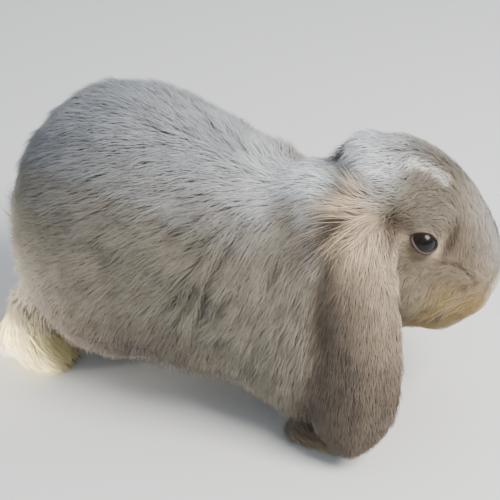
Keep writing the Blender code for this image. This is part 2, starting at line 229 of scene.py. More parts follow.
def wholeShape():
    names = [n for group in cadGroups.values() for n in group] + ["eye_left", "eye_right"]
    bm = bmesh.new()
    for name in names:
        part = bmesh.new()
        part.from_mesh(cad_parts[name].data)
        bmesh.ops.remove_doubles(part, verts=part.verts, dist=2e-5)
        part.normal_update()
        swell = 0 if name.startswith("eye") else skinMake["swell"]
        for v in part.verts:
            v.co += v.normal * swell
        piece = bpy.data.meshes.new("piece")
        part.to_mesh(piece)
        part.free()
        bm.from_mesh(piece)
        bpy.data.meshes.remove(piece)
    mesh = bpy.data.meshes.new("whole")
    bm.to_mesh(mesh)
    bm.free()
    whole = newObject("whole", mesh)
    whole.modifiers.new("melt", "REMESH").voxel_size = skinMake["voxel"]
    return plainMesh(whole, "skin")


def regionShares(places, edges):
    # how much each vertex belongs to body, head, ear, foot and tail, blended where they meet
    away = []
    for names in cadGroups.values():
        nearest = np.full(len(places), 9.0)
        for name in names:
            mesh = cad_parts[name].data
            tree = BVHTree.FromPolygons([v.co for v in mesh.vertices], [p.vertices for p in mesh.polygons])
            low, high = (np.array(c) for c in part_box(name))
            inBox = (places > low - skinMake["nodeSearch"]) & (places < high + skinMake["nodeSearch"])
            for i in np.all(inBox, axis=1).nonzero()[0]:
                nearest[i] = min(nearest[i], tree.find_nearest(places[i])[3])
        away.append(nearest)
    own = np.argmin(away, axis=0)
    shares = np.eye(len(cadGroups))[own]
    return evened(shares, edges, skinMake["blendRounds"])


def depthOfCoat(places, normals, shares):
    head = toHead(places)
    onHead = np.interp(head[:, 0], headForward, headDepth)
    for side in sides:
        onHead = onHead * smoothRamp(aroundEye(head, side)[0], *thinToLids)
    sole = smoothRamp(-normals[:, 2], *soleFacing) * smoothRamp(places[:, 2], 0.010, 0.003)
    onFoot = coatDepth["foot"] + (coatDepth["sole"] - coatDepth["foot"]) * sole
    byRegion = np.stack([
        np.full(len(places), coatDepth["body"]),
        onHead,
        np.full(len(places), coatDepth["ear"]),
        onFoot,
        np.full(len(places), coatDepth["tail"]),
    ], axis=1)
    return (byRegion * shares).sum(1)


# lines cut into the face, in the head's millimetres for its left side
faceCuts = {
    "nostril": {
        "path": ((117.5, 2.0, -5.0), (116, 5.0, -1.5), (112.5, 8.2, 1.0)),
        "width": 1.0,
        "depth": 1.7,
    },
    "cleft": {
        "path": ((118, 0, -5), (118, 0, -8), (117.5, 0, -11.5)),
        "width": 0.8,
        "depth": 1.1,
    },
    "mouth": {
        "path": (
            (117.5, 0, -11.5), (115.5, 4.5, -16.5), (111.5, 10.5, -22), (105.5, 15.5, -27), (98, 19, -32),
        ),
        "width": 0.8,
        "depth": 1.0,
    },
    "fold": {
        "path": ((72, 34, 1), (83, 31, 2), (97, 27, -4)),
        "width": 0.9,
        "depth": 0.9,
    },
}
cutsFrom = 65  # nothing behind this is cut
finerSkin = (  # two rounds of halving, near the eyes and forward of the nose's start
    {"eyeReach": 5.0, "noseFrom": 104},
    {"eyeReach": 2.8, "noseFrom": 108},
)


def refineSkin(mesh):
    for finer in finerSkin:
        bm = bmesh.new()
        bm.from_mesh(mesh)
        head = toHead(np.array([v.co for v in bm.verts]))
        wanted = head[:, 0] > finer["noseFrom"]
        for side in sides:
            wanted |= aroundEye(head, side)[0] < finer["eyeReach"]
        edges = [e for e in bm.edges if wanted[e.verts[0].index] and wanted[e.verts[1].index]]
        bmesh.ops.subdivide_edges(bm, edges=edges, cuts=1, use_grid_fill=True)
        bm.to_mesh(mesh)
        bm.free()


def shapeLids(mesh):
    places, _, _ = arraysOf(mesh)
    head = toHead(places)
    lidHeight = eyeRadius + eyeMake["rim"]
    sunk = eyeRadius - eyeMake["sunk"]
    for side in sides:
        past, distance, apart, angle = aroundEye(head, side)
        edge = sunk + (lidHeight - sunk) * smoothRamp(past, *eyeMake["edge"])
        blend = smoothRamp(past, eyeMake["rimWidth"], eyeMake["blend"])
        outside = np.maximum(lidHeight + (distance - lidHeight) * blend, eyeRadius + eyeMake["clear"])
        wanted = np.where(past < eyeMake["rimWidth"], edge, outside)
        here = (angle < eyeMake["widest"]) & (past < eyeMake["blend"])
        head[here] += (apart * (wanted / distance - 1)[:, None])[here]
    placeVertices(mesh, fromHead(head))


def carveFace(mesh):
    places, normals, _ = arraysOf(mesh)
    head = toHead(places)
    tree = BVHTree.FromPolygons([v.co for v in mesh.vertices], [p.vertices for p in mesh.polygons])
    near = np.nonzero(head[:, 0] > cutsFrom)[0]
    closeness = np.zeros(len(places))
    sink = np.zeros(len(places))
    for cut in faceCuts.values():
        line = alongPath(cut["path"], 48)
        for way in sides.values():
            spots = fromHead(line * (1, way, 1))
            spots = toHead(np.array([tree.find_nearest(Vector(p))[0] for p in spots]))
            gap = np.min(np.linalg.norm(head[near, None] - spots[None], axis=2), axis=1)
            cutIn = np.exp(-((gap / cut["width"])**2))
            sink[near] = np.maximum(sink[near], cut["depth"] * cutIn)
            closeness[near] = np.maximum(closeness[near], cutIn)
    placeVertices(mesh, places - normals * sink[:, None] / 1000)
    setAttribute(mesh, "cutLine", closeness)


def makeSkin():
    skin = wholeShape()
    places, _, edges = arraysOf(skin.data)
    shares = regionShares(places, edges)
    names = list(cadGroups)
    onEar, onFoot = shares[:, names.index("ear")], shares[:, names.index("foot")]
    keen = 1 - skinMake["sparedEar"] * onEar - skinMake["sparedFoot"] * onFoot
    for step in range(skinMake["roundings"]):
        factor = skinMake["inward"] if step % 2 == 0 else skinMake["growBack"]
        places += (factor * keen)[:, None] * (neighbourMean(places, edges) - places)
    placeVertices(skin.data, places)
    _, normals, _ = arraysOf(skin.data)
    depth = evened(depthOfCoat(places, normals, shares), edges, skinMake["depthRounds"])
    inward = unit(evened(normals, edges, skinMake["wayRounds"]))
    places -= inward * depth[:, None]
    places = evened(places, edges, skinMake["lastRounds"], skinMake["lastFactor"])
    placeVertices(skin.data, places)
    for k, name in enumerate(names):
        setAttribute(skin.data, "in_" + name, shares[:, k])
    refineSkin(skin.data)
    shapeLids(skin.data)
    carveFace(skin.data)
    skin.data.calc_loop_triangles()
    print("skin", len(skin.data.loop_triangles), "triangles")
    return skin


skin = makeSkin()

coatLength = {"body": 0.0150, "ear": 0.0100, "foot": 0.0080, "tail": 0.0180}
headLength = (0.0130, 0.0095, 0.0068, 0.0056, 0.0046, 0.0036, 0.0026)
coatWidth = {"body": 0.00026, "ear": 0.00025, "foot": 0.00028, "tail": 0.00034}
headWidth = (0.00028, 0.00027, 0.00025, 0.00023, 0.00022, 0.00020, 0.00018)
headShare = (0.75, 0.85, 0.90, 0.95, 1.0, 1.0, 1.0)  # how thickly the tufts stand
fan = {  # the long locks that fan out behind the base of each ear
    "from": (27, 37, 17),
    "root": (13, 39, 10),
    "radii": (9, 12, 14),
    "length": 0.040,
    "rise": 0.0105,
    "gather": 3.5,
    "straight": (1.6, 0.9),  # how fast, and how far at most, their bend is taken out
    "left": 0.45,  # how much of it the left ear has
}


def regionMix(shares, *values):
    # a number or a way for each region, blended by the regions' shares
    total = 0
    for k, value in enumerate(values):
        value = np.asarray(value, float)
        share = shares[:, k, None] if value.ndim and value.shape[-1] == 3 else shares[:, k]
        total = total + share * value
    return total


creaseMake = {
    "core": 0.0021,
    "hold": 0.0100,  # how far it turns the coat's lie
    "swellAt": 0.0070,  # the coat stands higher on both sides
    "swellWidth": 0.0040,
    "sink": 0.35,
    "swell": 0.25,
    "crosswise": 0.12,  # the paths lie outside the skin, so this way counts little
    "search": 0.045,
    "leftShift": 0.009,
}
creases = (  # soft partings in the coat of the side, from the top down, in millimetres
    ((32, -59, 123), (27, -66, 112), (21, -71, 98), (22, -73, 87), (17, -74, 73)),
    ((35, -69, 96), (30, -72, 88), (23, -74, 80)),
    ((9, -75, 92), (1, -77, 84)),
    ((16, -72, 98), (11, -76, 84)),
    ((10, -60, 131), (-1, -68, 124)),
    ((18, -63, 124), (7, -70, 116)),
    ((56, -58, 111), (54, -62, 104)),
)


def creaseFields(places):
    # how far each place is from the nearest parting, and which way that one runs
    gap = np.full(len(places), 9.0)
    way = np.zeros((len(places), 3))
    for path in creases:
        line = alongPath(np.array(path, float) / 1000, 24)
        for side, shift in ((1, 0.0), (-1, creaseMake["leftShift"])):
            spots = line * (1, side, 1) + (shift, 0, 0)
            ahead = unit(np.gradient(spots, axis=0))
            inReach = np.all(np.abs(places - spots.mean(0)) < creaseMake["search"], axis=1)
            around = np.nonzero(inReach)[0]
            apart = (places[around, None] - spots[None]) * (1, creaseMake["crosswise"], 1)
            apart = np.linalg.norm(apart, axis=2)
            nearest = np.argmin(apart, axis=1)
            here = apart[np.arange(len(around)), nearest]
            closer = here < gap[around]
            gap[around[closer]] = here[closer]
            way[around[closer]] = ahead[nearest[closer]]
    return gap, way


def mirrored(head, place):
    # a place given for the left side of the head, moved to each vertex's own side
    forward, left, up = place
    aside = np.sign(head[:, 1]) * left
    return np.stack([np.full(len(head), forward), aside, np.full(len(head), up)], axis=1)


def bothNear(head, centre, radii):
    return np.exp(-(((head - mirrored(head, centre)) / np.array(radii))**2).sum(1))


def fanShare(head):
    return bothNear(head, fan["root"], fan["radii"]) * np.where(head[:, 1] > 0, fan["left"], 1)


lieMake = {  # ways along the coat: body, ear, foot and tail in the model's axes, the head in its own
    "steepAt": (-0.14, -0.06, 0.02, 0.08),
    "steep": (18, 30, 48, 72),  # degrees down from level, from the rump to the chest
    "ridge": 0.045,  # the back's hair spreads to both sides over this half width
    "spread": 0.30,
    "belly": (0.25, 0, -0.9),
    "crease": 1.5,
    "face": (-1.0, 0, -0.25),
    "cheek": (0.75, 0, -0.85),
    "cheekBelow": (-12, 20),
    "crown": (-1, 0.45, 0.85),  # back, and by how much less back and more aside away from the middle
    "crownAbove": (11, 25),
    "crownAside": (1, 16),
    "crownFrom": (5, 35),
    "nose": (-0.45, 0, 0.85),
    "noseFrom": (56, 72),
    "noseAbove": (-6, 3),
    "noseSlope": (0.12, 90),  # the nose's hair starts lower towards this place
    "ear": (-0.10, 0.0, -1.0),
    "tail": (-0.55, 0.0, 0.75),
    "fan": 3,
    "lids": 0.75,
    "lidReach": (0.5, 5),
    "rounds": 3,
    "smooth": 6,
}


def lieOfHead(head):
    sideways = np.sign(head[:, 1])
    forward, up = head[:, 0], head[:, 2]
    slope, noseAt = lieMake["noseSlope"]
    onNose = smoothRamp(up - slope * (noseAt - forward), *lieMake["noseAbove"])
    onNose *= smoothRamp(forward, *lieMake["noseFrom"])
    onTop = smoothRamp(up, *lieMake["crownAbove"]) * (1 - onNose)
    onCheek = smoothRamp(-up, *lieMake["cheekBelow"]) * (1 - onNose)
    local = np.array(lieMake["face"]) + onCheek[:, None] * np.array(lieMake["cheek"])
    aside = smoothRamp(np.abs(head[:, 1]), *lieMake["crownAside"])
    aside *= smoothRamp(forward, *lieMake["crownFrom"])
    back, less, more = lieMake["crown"]
    over = np.stack([back + less * aside, more * aside * sideways, 0 * up], axis=1)
    local = local + onTop[:, None] * (over - local)
    local = local + onNose[:, None] * (np.array(lieMake["nose"]) - local)
    return local @ np.array(headTurn).T


def lieOfCoat(places, normals, shares, head):
    across = np.clip(places[:, 1] / lieMake["ridge"], -1, 1)
    steep = np.radians(np.interp(places[:, 0], lieMake["steepAt"], lieMake["steep"]))
    spread = lieMake["spread"] * smoothRamp(normals[:, 2], 0.2, 0.9)
    body = np.stack([-np.cos(steep), spread * across, -np.sin(steep)], axis=1)
    body += smoothRamp(-normals[:, 2], -0.25, 0.45)[:, None] * np.array(lieMake["belly"])
    gap, along = creaseFields(places)
    body += lieMake["crease"] * np.exp(-((gap / creaseMake["hold"])**2))[:, None] * (along - body)
    toes = smoothRamp(-places[:, 2], -0.034, -0.012)
    foot = np.stack([0.15 + 0.9 * toes, 0 * toes, -1 + 0.6 * toes], axis=1)
    ear, tail = np.array(lieMake["ear"]), np.array(lieMake["tail"])
    lie = unit(regionMix(shares, body, lieOfHead(head), ear, foot, tail))
    inFan = fanShare(head)[:, None]
    fanWay = unit(head - mirrored(head, fan["from"])) @ np.array(headTurn).T
    lie += lieMake["fan"] * inFan * (fanWay - lie)
    for side in sides:
        past, _, apart, _ = aroundEye(head, side)
        close = 1 - smoothRamp(past, *lieMake["lidReach"])[:, None]
        lie += close * (lieMake["lids"] * unit(apart) @ np.array(headTurn).T)
    return unit(lie)


bendMake = {"rounds": 10, "least": -10, "most": 42}  # limits per metre


def bendAlong(places, outward, lie, edges):
    # how sharply the skin falls away along the lie of the coat, per metre
    first, second = edges.T
    step = places[second] - places[first]
    span = np.maximum((step**2).sum(1), 1e-12)
    turn = ((outward[second] - outward[first]) * step).sum(1) / span
    total = np.zeros(len(places))
    weights = np.full(len(places), 1e-9)
    for here in (first, second):
        weight = (lie[here] * step).sum(1)**4 / span**2
        total += np.bincount(here, weight * turn, len(places))
        weights += np.bincount(here, weight, len(places))
    return np.clip(evened(total / weights, edges, bendMake["rounds"]), bendMake["least"], bendMake["most"])


blazeMake = {  # the white mark on the forehead, in the head's millimetres
    "aside": 15.5,
    "width": (-3.7, -2.2),
    "back": (31, 35),
    "front": (-61, -57),
    "above": (20, 30),
    "flatter": 0.25,
}


def blazeShare(head):
    blaze = smoothRamp(-np.abs(head[:, 1] + blazeMake["aside"]), *blazeMake["width"])
    blaze = blaze * smoothRamp(head[:, 0], *blazeMake["back"])
    ahead = smoothRamp(-head[:, 0], *blazeMake["front"])
    return blaze * (ahead * smoothRamp(head[:, 2], *blazeMake["above"]))


tuftMake = {
    "soleShorter": 0.6,
    "soleBelow": (0.014, 0.004),
    "hock": 0.004,  # longer hair on the hind feet's rear
    "hockFrom": (0.080, 0.100),
    "hockAbove": (0.002, 0.012),
    "atLids": 0.3,
    "lidReach": (0, 9),
    "earTipShorter": 0.62,
    "earTipBelow": (-0.050, -0.022),
    "keenFan": 1.4,
    "riseRounds": 6,
    "earRise": 0.8,
    "footRise": 0.3,
    "calm": 0.85,  # how much less the lie wanders beside a parting
    "bareLid": (0.6, 1.2),
    "bareCut": (0.45, 0.7),
}


def sizeTufts(mesh, places, outward, edges, shares, head, past, gap):
    # length, height, width and thickness of growth of the tufts at each vertex
    inBody, _, inEar, inFoot, _ = shares.T
    inFan = fanShare(head)
    make = tuftMake
    sole = smoothRamp(-outward[:, 2], *soleFacing) * smoothRamp(places[:, 2], *make["soleBelow"])
    length = regionMix(
        shares, coatLength["body"], np.interp(head[:, 0], headForward, headLength),
        coatLength["ear"], coatLength["foot"], coatLength["tail"],
    )
    onHock = inFoot * smoothRamp(-places[:, 0], *make["hockFrom"])
    onHock = onHock * smoothRamp(places[:, 2], *make["hockAbove"])
    offLids = make["atLids"] + (1 - make["atLids"]) * smoothRamp(past, *make["lidReach"])
    length = (length + make["hock"] * onHock) * (1 - make["soleShorter"] * sole) * offLids
    length *= 1 - make["earTipShorter"] * inEar * smoothRamp(-places[:, 2], *make["earTipBelow"])
    length *= 1 - blazeMake["flatter"] * evened(blazeShare(head), edges, 2)
    setAttribute(mesh, "tuftLength", length + inFan**make["keenFan"] * (fan["length"] - length))

    rise = evened(depthOfCoat(places, outward, shares), edges, make["riseRounds"])
    parting = np.exp(-((gap / creaseMake["core"])**2)) * inBody
    beside = np.exp(-(((gap - creaseMake["swellAt"]) / creaseMake["swellWidth"])**2)) * inBody
    rise = rise * (1 - creaseMake["sink"] * parting) * (1 + creaseMake["swell"] * beside)
    rise = rise * (1 + make["earRise"] * inEar + make["footRise"] * inFoot)
    setAttribute(mesh, "tuftRise", rise + inFan * (fan["rise"] - rise))
    setAttribute(mesh, "tuftCalm", 1 - make["calm"] * np.exp(-((gap / creaseMake["hold"])**2)))
    setAttribute(mesh, "tuftGather", 1 + fan["gather"] * inFan)

    width = regionMix(
        shares, coatWidth["body"], np.interp(head[:, 0], headForward, headWidth),
        coatWidth["ear"], coatWidth["foot"], coatWidth["tail"],
    )
    setAttribute(mesh, "tuftWidth", width)
    share = regionMix(shares, 1.0, np.interp(head[:, 0], headForward, headShare), 1.0, 1.0, 1.0)
    inCut = smoothRamp(attributeOf(mesh, "cutLine"), *make["bareCut"])
    bare = np.maximum(1 - smoothRamp(past, *make["bareLid"]), inCut)
    setAttribute(mesh, "tuftShare", share * (1 - bare))
    return parting


# strength, place and reach on both sides of the head, in millimetres
faceMarks = {
    "smudge": (1.2, (34, 40, 16), (8, 12, 9)),  # brown, before the ear's base
    "beforeEye": (0.9, (71.5, 33, 15), (4.6, 9, 13)),  # an upright smudge
    "foldEnd": (1.5, (92.5, 29, -9), (1.7, 6, 1.5)),
    "whiskerSpot": (1.4, (98, 27, -6), (1.6, 6, 1.4)),
    "lipSpot": (1.5, (88.6, 26, -33), (2.0, 6, 3.2)),
    "brow": (0.45, (83, 26, 9), (12, 10, 15)),
    "besideEar": (0.95, (3, 42, -2), (21, 19, 26)),  # neither the back's colour with its painted sky light nor the painted sky highlight of the nape here
    # painted shade on the neck under the fan, behind the ear
    "underFan": (0.5, (-4, 42, -14), (13, 16, 17)),
    "pastFan": (0.8, (13, 43, -3), (18, 15, 19)),
    "eyeCorner": (1.2, (65.5, 34.2, 10), (3.0, 9, 6)),
}
darkSpots = ("beforeEye", "foldEnd", "whiskerSpot", "lipSpot", "brow")
markEdges = {  # where a marking or a painted light or shade begins and where it is full
    "above": (0.42, 1.0),  # how far the skin faces up, as for the next four
    "nape": (0.74, 0.96),
    "rump": (0.25, 0.75),
    "skull": (0.15, 0.9),
    "belly": (-0.15, 0.40),
    "tailBelow": (0, 1),
    "shoulder": (-0.020, 0.050),  # metres in the model from here on
    "napeFrom": (-0.008, 0.062),
    "rumpFrom": (0.0, 0.100),
    "bellyFrom": (-0.045, 0.0),
    "rear": (-0.05, 0.01),
    "hind": (-0.030, 0.010),
    "heel": (0.108, 0.126),
    "heelBelow": (-0.024, -0.010),
    "footBelow": (-0.046, -0.024),
    "toesBelow": (-0.008, -0.003),
    "toesAbove": (0.004, 0.010),
    "lowBelow": (-0.085, -0.025),
    "earRear": (-0.010, 0.018),
    "earBelow": (-0.128, -0.045),
    "bridge": (62, 85),  # millimetres in the head from here on
    "bridgeAside": (-36, -12),
    "bridgeAbove": (-10, 8),
    "cheek": (22, 44),
    "cheekBelow": (-26, 0),
    "muzzle": (62, 90),
    "muzzleBelow": (0, 20),
    "forehead": (28, 44),
    "foreheadAbove": (-2, 16),
    "skullBack": (-39, -18),
    "crownBack": (-72, -36),
    "lips": (-4.5, 4.5),
    "lipsAbove": (-24, -14),
    "lowerLid": (1.5, -2.5),
    "lidBelow": (0.8, 1.5),
    "lidFrom": (-0.6, 0.2),
}
strength = {
    "crown": 0.9,
    "ridge": 0.8,
    # strength of the painted shade on the rump
    "rump": 0.85,
    "lowAhead": 0.6,
    "cheekAbove": 0.15,
    "cheekOffRidge": 0.55,
    "earRear": 0.55,
    "earBelow": 0.90,
    "fan": 1.3,
    "toes": 0.3,
    "tail": 0.4,
    "lips": 0.75,
    "lipsBelow": 0.25,
    "heel": 0.7,
    # strength of the painted shade in the carved lines
    "cut": 0.8,
    "forehead": 0.36,
    # strength of the painted shade on the fore feet
    "foreFootShade": 0.85,
    "bellyAhead": 0.1,
    # strength of the painted shade in the partings
    "parting": 0.75,
}
lipsAt = {"front": 111.5, "lower": (-16, 0.5), "upper": (-4, 0.25)}  # the white's edge and its slopes
earMiddle = {"right": 0.108, "left": 0.049}  # forward, at the ears' rear edges


def marked(values, name):
    return smoothRamp(values, *markEdges[name])


def faceMark(head, name):
    most, place, reach = faceMarks[name]
    return most * bothNear(head, place, reach)


# the coat's markings and its painted light and shade, as attributes of the skin
def markCoatAndPaintLight(mesh, places, outward, edges, shares, head, past, eyeUp, parting):
    inBody, inHead, inEar, inFoot, inTail = shares.T
    forward, aside, up = head.T
    x, _, z = places.T
    inFan = fanShare(head)
    cutLine = attributeOf(mesh, "cutLine")
    upward = evened(outward[:, 2], edges, 40)
    # painted sky light: the coat is given a lighter, bluer colour where it faces up
    above = marked(upward - 0.15 * marked(x, "shoulder"), "above")
    besideEar = 1 - faceMark(head, "besideEar")
    onBridge = marked(forward, "bridge")
    ridge = onBridge * marked(-np.abs(aside), "bridgeAside") * marked(up, "bridgeAbove")
    cheek = (strength["cheekAbove"] + marked(-up, "cheekBelow")) * marked(forward, "cheek")
    lowerLip, upperLip = lipsAt["lower"], lipsAt["upper"]
    lips = forward - lipsAt["front"] - lowerLip[1] * np.minimum(up - lowerLip[0], 0)
    lips -= upperLip[1] * np.maximum(up - upperLip[0], 0)
    lipWhite = strength["lips"] * marked(lips, "lips") * (1 - cutLine)
    lipWhite *= strength["lipsBelow"] + (1 - strength["lipsBelow"]) * marked(up, "lipsAbove")
    lower = marked(eyeUp, "lowerLid")
    heel = marked(-x, "heel") * marked(-z, "heelBelow")
    hind = marked(-x, "hind")
    # the low sides are partly browner coat and partly painted shade, darker towards the rear
    lowHere = strength["lowAhead"] + (1 - strength["lowAhead"]) * marked(-x, "rear")
    # painted sky highlight on the upward-facing nape and back of the skull
    nape = inBody * marked(upward, "nape") * marked(x, "napeFrom")
    skull = inHead * marked(upward, "skull") * marked(-forward, "skullBack")
    crown = inHead * marked(-forward, "crownBack")
    earRear = marked(np.where(places[:, 1] < 0, earMiddle["right"] - x, earMiddle["left"] - x), "earRear")
    smudge = faceMark(head, "smudge") * (1 - smoothRamp(inFan, 0.08, 0.4))
    forehead = inHead * marked(forward, "forehead") * (1 - onBridge) * marked(up, "foreheadAbove")
    # painted shade on the downward-facing underside, stronger towards the rear
    belly = strength["bellyAhead"] + (1 - strength["bellyAhead"]) * marked(-x, "bellyFrom")
    belly = inBody * marked(-upward, "belly") * belly
    marks = {
        # the back's blue-grey is partly the coat's own colour and partly painted sky light on the
        # upward-facing coat
        "back": besideEar * above * (inBody + inTail + strength["crown"] * crown)
                + strength["ridge"] * inHead * ridge,
        # painted shade: the rump's top is made darker
        "rump": strength["rump"] * inBody * marked(upward, "rump") * marked(-x, "rumpFrom"),
        # painted sky highlight on the nape and back of the skull
        "skyHighlight": besideEar * np.clip(nape + skull, 0, 1),
        # partly the low sides' browner coat, partly painted shade
        "low": (inBody + inFoot) * marked(-z, "lowBelow") * lowHere,
        "cheek": inHead * np.clip(cheek + onBridge, 0, 1) * (1 - strength["cheekOffRidge"] * ridge),
        "warm": inHead * marked(forward, "muzzle") * marked(-up, "muzzleBelow"),
        "onEar": inEar,
        "earShade": inEar * np.clip(
            strength["earRear"] * earRear + strength["earBelow"] * marked(-z, "earBelow"), 0, 1),
        "fringe": np.clip(
            strength["fan"] * inFan + faceMark(head, "pastFan")
            + inHead * faceMark(head, "eyeCorner"), 0, 0.9),
        "cream": np.clip(
            inFoot * hind * marked(-z, "footBelow")
            + strength["toes"] * inFoot * (1 - hind) * marked(-z, "toesBelow")
            + strength["tail"] * inTail * marked(-outward[:, 2], "tailBelow"), 0, 1),
        "white": np.clip(inHead * (blazeShare(head) + lipWhite) + strength["heel"] * inFoot * heel, 0, 1),
        "dark": np.clip(
            smudge + sum(faceMark(head, name) for name in darkSpots)
            # the carved lines of nose, mouth and face get painted shade
            + strength["cut"] * cutLine + strength["forehead"] * forehead
            # painted shade on the fore feet above the toes
            + strength["foreFootShade"] * inFoot * (1 - hind) * marked(z, "toesAbove"), 0, 1),
        # painted shade under the fan and on the underside
        "under": np.clip(inBody * faceMark(head, "underFan") + belly, 0, 1),
        # painted shade in the partings of the coat
        "parting": strength["parting"] * parting,
        "lid": 1 - smoothRamp(past, 0.7 + 0.5 * lower, 1.3 + 0.9 * lower),
        "lidBelow": lower * (1 - marked(past, "lidBelow")) * marked(past, "lidFrom"),
    }
    for name, values in marks.items():
        setAttribute(mesh, name, values)


def dressSkin(mesh):
    # the lie, the tufts' sizes and the markings with their painted light and shade, as attributes of the skin
    places, normals, edges = arraysOf(mesh)
    shares = np.stack([attributeOf(mesh, "in_" + name) for name in cadGroups], axis=1).astype(float)
    head = toHead(places)
    outward = unit(evened(normals, edges, 4))
    setAttribute(mesh, "outward", outward, "FLOAT_VECTOR")
    lie = lieOfCoat(places, outward, shares, head)
    for _ in range(lieMake["rounds"]):
        lie -= (lie * outward).sum(1, keepdims=True) * outward
        lie = evened(unit(lie), edges, lieMake["smooth"])
    lie -= (lie * outward).sum(1, keepdims=True) * outward
    lie = unit(lie)
    setAttribute(mesh, "lie", lie, "FLOAT_VECTOR")
    speed, most = fan["straight"]
    bend = bendAlong(places, outward, lie, edges) * (1 - np.minimum(speed * fanShare(head), most))
    setAttribute(mesh, "tuftBend", bend)

    nearer = {side: aroundEye(head, side) for side in sides}
    past = np.minimum(nearer["left"][0], nearer["right"][0])
    eyeUp = {side: nearer[side][2] @ eyeAxes(side)[2] for side in sides}
    eyeUp = np.where(head[:, 1] > 0, eyeUp["left"], eyeUp["right"])
    gap, _ = creaseFields(places)
    parting = sizeTufts(mesh, places, outward, edges, shares, head, past, gap)
    markCoatAndPaintLight(mesh, places, outward, edges, shares, head, past, eyeUp, parting)


dressSkin(skin.data)
print("skin dressed")

# linear colours, each laid over the ones before it where its marking is; some of them are painted light and
# shade, as noted at each
fur = {
    "flank": (0.275, 0.248, 0.199),
    # partly the back's own blue-grey, partly painted sky light where the coat faces up
    "back": (0.368, 0.382, 0.410),
    # painted shade on the rump
    "rump": (0.212, 0.230, 0.256),
    # painted sky highlight on the nape and skull
    "skyHighlight": (0.755, 0.772, 0.800),
    # partly the low sides' browner coat, partly painted shade
    "low": (0.182, 0.154, 0.110),
    "cheek": (0.305, 0.244, 0.174),
    "warm": (0.350, 0.247, 0.108),
    "onEar": (0.465, 0.365, 0.264),
    "earShade": (0.122, 0.098, 0.078),
    "fringe": (0.790, 0.610, 0.430),
    "cream": (0.980, 0.840, 0.440),
    "white": (0.970, 0.950, 0.880),
    "dark": (0.100, 0.075, 0.054),
    # painted shade under the fan and on the underside
    "under": (0.105, 0.087, 0.071),
    # painted shade in the partings
    "parting": (0.085, 0.070, 0.058),
    "lid": (0.030, 0.024, 0.023),
    "lidBelow": (0.100, 0.078, 0.074),
}
furLook = {
    "cloudScale": 42.0,
    "cloudShade": 0.36,
    "mottleScale": 170.0,
    "mottleShade": 0.44,
    "least": 0.60,
    "rootShade": 0.87,  # tufts are darker at the root
    "tipShade": 0.20,
    "lockShade": 0.10,
    "skinShade": (0.90, 0.87, 0.84),
}


def addNode(tree, kind, inputs=None, **settings):
    made = tree.nodes.new(kind)
    for name, value in settings.items():
        setattr(made, name, value)
    for key, value in (inputs or {}).items():
        if isinstance(value, bpy.types.NodeSocket):
            tree.links.new(value, made.inputs[key])
        else:
            made.inputs[key].default_value = value
    return made


def attribute(tree, name, output="Fac"):
    return addNode(tree, "ShaderNodeAttribute", attribute_name=name).outputs[output]


def mixed(tree, factor, first, second, blend="MIX"):
    made = addNode(tree, "ShaderNodeMix", data_type="RGBA", blend_type=blend)
    for key, value in ((0, factor), (6, first), (7, second)):
        if isinstance(value, bpy.types.NodeSocket):
            tree.links.new(value, made.inputs[key])
        else:
            made.inputs[key].default_value = (*value, 1) if isinstance(value, tuple) else value
    return made.outputs[2]


def maths(tree, operation, *values, clamp=False):
    made = addNode(tree, "ShaderNodeMath", operation=operation, use_clamp=clamp)
    for k, value in enumerate(values):
        if isinstance(value, bpy.types.NodeSocket):
            tree.links.new(value, made.inputs[k])
        else:
            made.inputs[k].default_value = value
    return made.outputs[0]


def coatColoursAndPaintedLight(tree):
    # the coat's colours and its painted light and shade, the same for skin and tufts
    place = addNode(tree, "ShaderNodeTexCoord").outputs["Object"]
    colour = fur["flank"]
    for name in list(fur)[1:]:
        colour = mixed(tree, attribute(tree, name), colour, fur[name])
    cloudy = {"Vector": place, "Scale": furLook["cloudScale"], "Detail": 3.0}
    cloudy = addNode(tree, "ShaderNodeTexNoise", cloudy).outputs["Fac"]
    mottled = {"Vector": place, "Scale": furLook["mottleScale"], "Detail": 2.0}
    mottled = addNode(tree, "ShaderNodeTexNoise", mottled).outputs["Fac"]
    shade = maths(tree, "MULTIPLY_ADD", mottled, furLook["mottleShade"], furLook["least"])
    shade = maths(tree, "MULTIPLY_ADD", cloudy, furLook["cloudShade"], shade)
    return mixed(tree, 1.0, colour, shade, "MULTIPLY")


def newMaterial(name):
    made = bpy.data.materials.new(name)
    made.use_nodes = True
    return made, made.node_tree, made.node_tree.nodes["Principled BSDF"]


def makeCoatMaterial():
    material, tree, shader = newMaterial("softCoat")
    colour = coatColoursAndPaintedLight(tree)
    depth = maths(tree, "MULTIPLY_ADD", attribute(tree, "along"), furLook["tipShade"], furLook["rootShade"])
    own = maths(tree, "MULTIPLY_ADD", attribute(tree, "tone"), furLook["lockShade"], 1.0)
    colour = mixed(tree, 1.0, colour, maths(tree, "MULTIPLY", depth, own), "MULTIPLY")
    tree.links.new(colour, shader.inputs["Base Color"])
    shader.inputs["Roughness"].default_value = 0.8
    shader.inputs["Specular IOR Level"].default_value = 0.2
    shader.inputs["Sheen Weight"].default_value = 0.15
    return material


def makeSkinMaterial():
    material, tree, shader = newMaterial("underCoat")
    colour = mixed(tree, 1.0, coatColoursAndPaintedLight(tree), furLook["skinShade"], "MULTIPLY")
    tree.links.new(colour, shader.inputs["Base Color"])
    shader.inputs["Roughness"].default_value = 0.9
    shader.inputs["Specular IOR Level"].default_value = 0.1
    return material


coatMaterial = makeCoatMaterial()
skin.data.materials.clear()
skin.data.materials.append(makeSkinMaterial())
skin.data.shade_smooth()

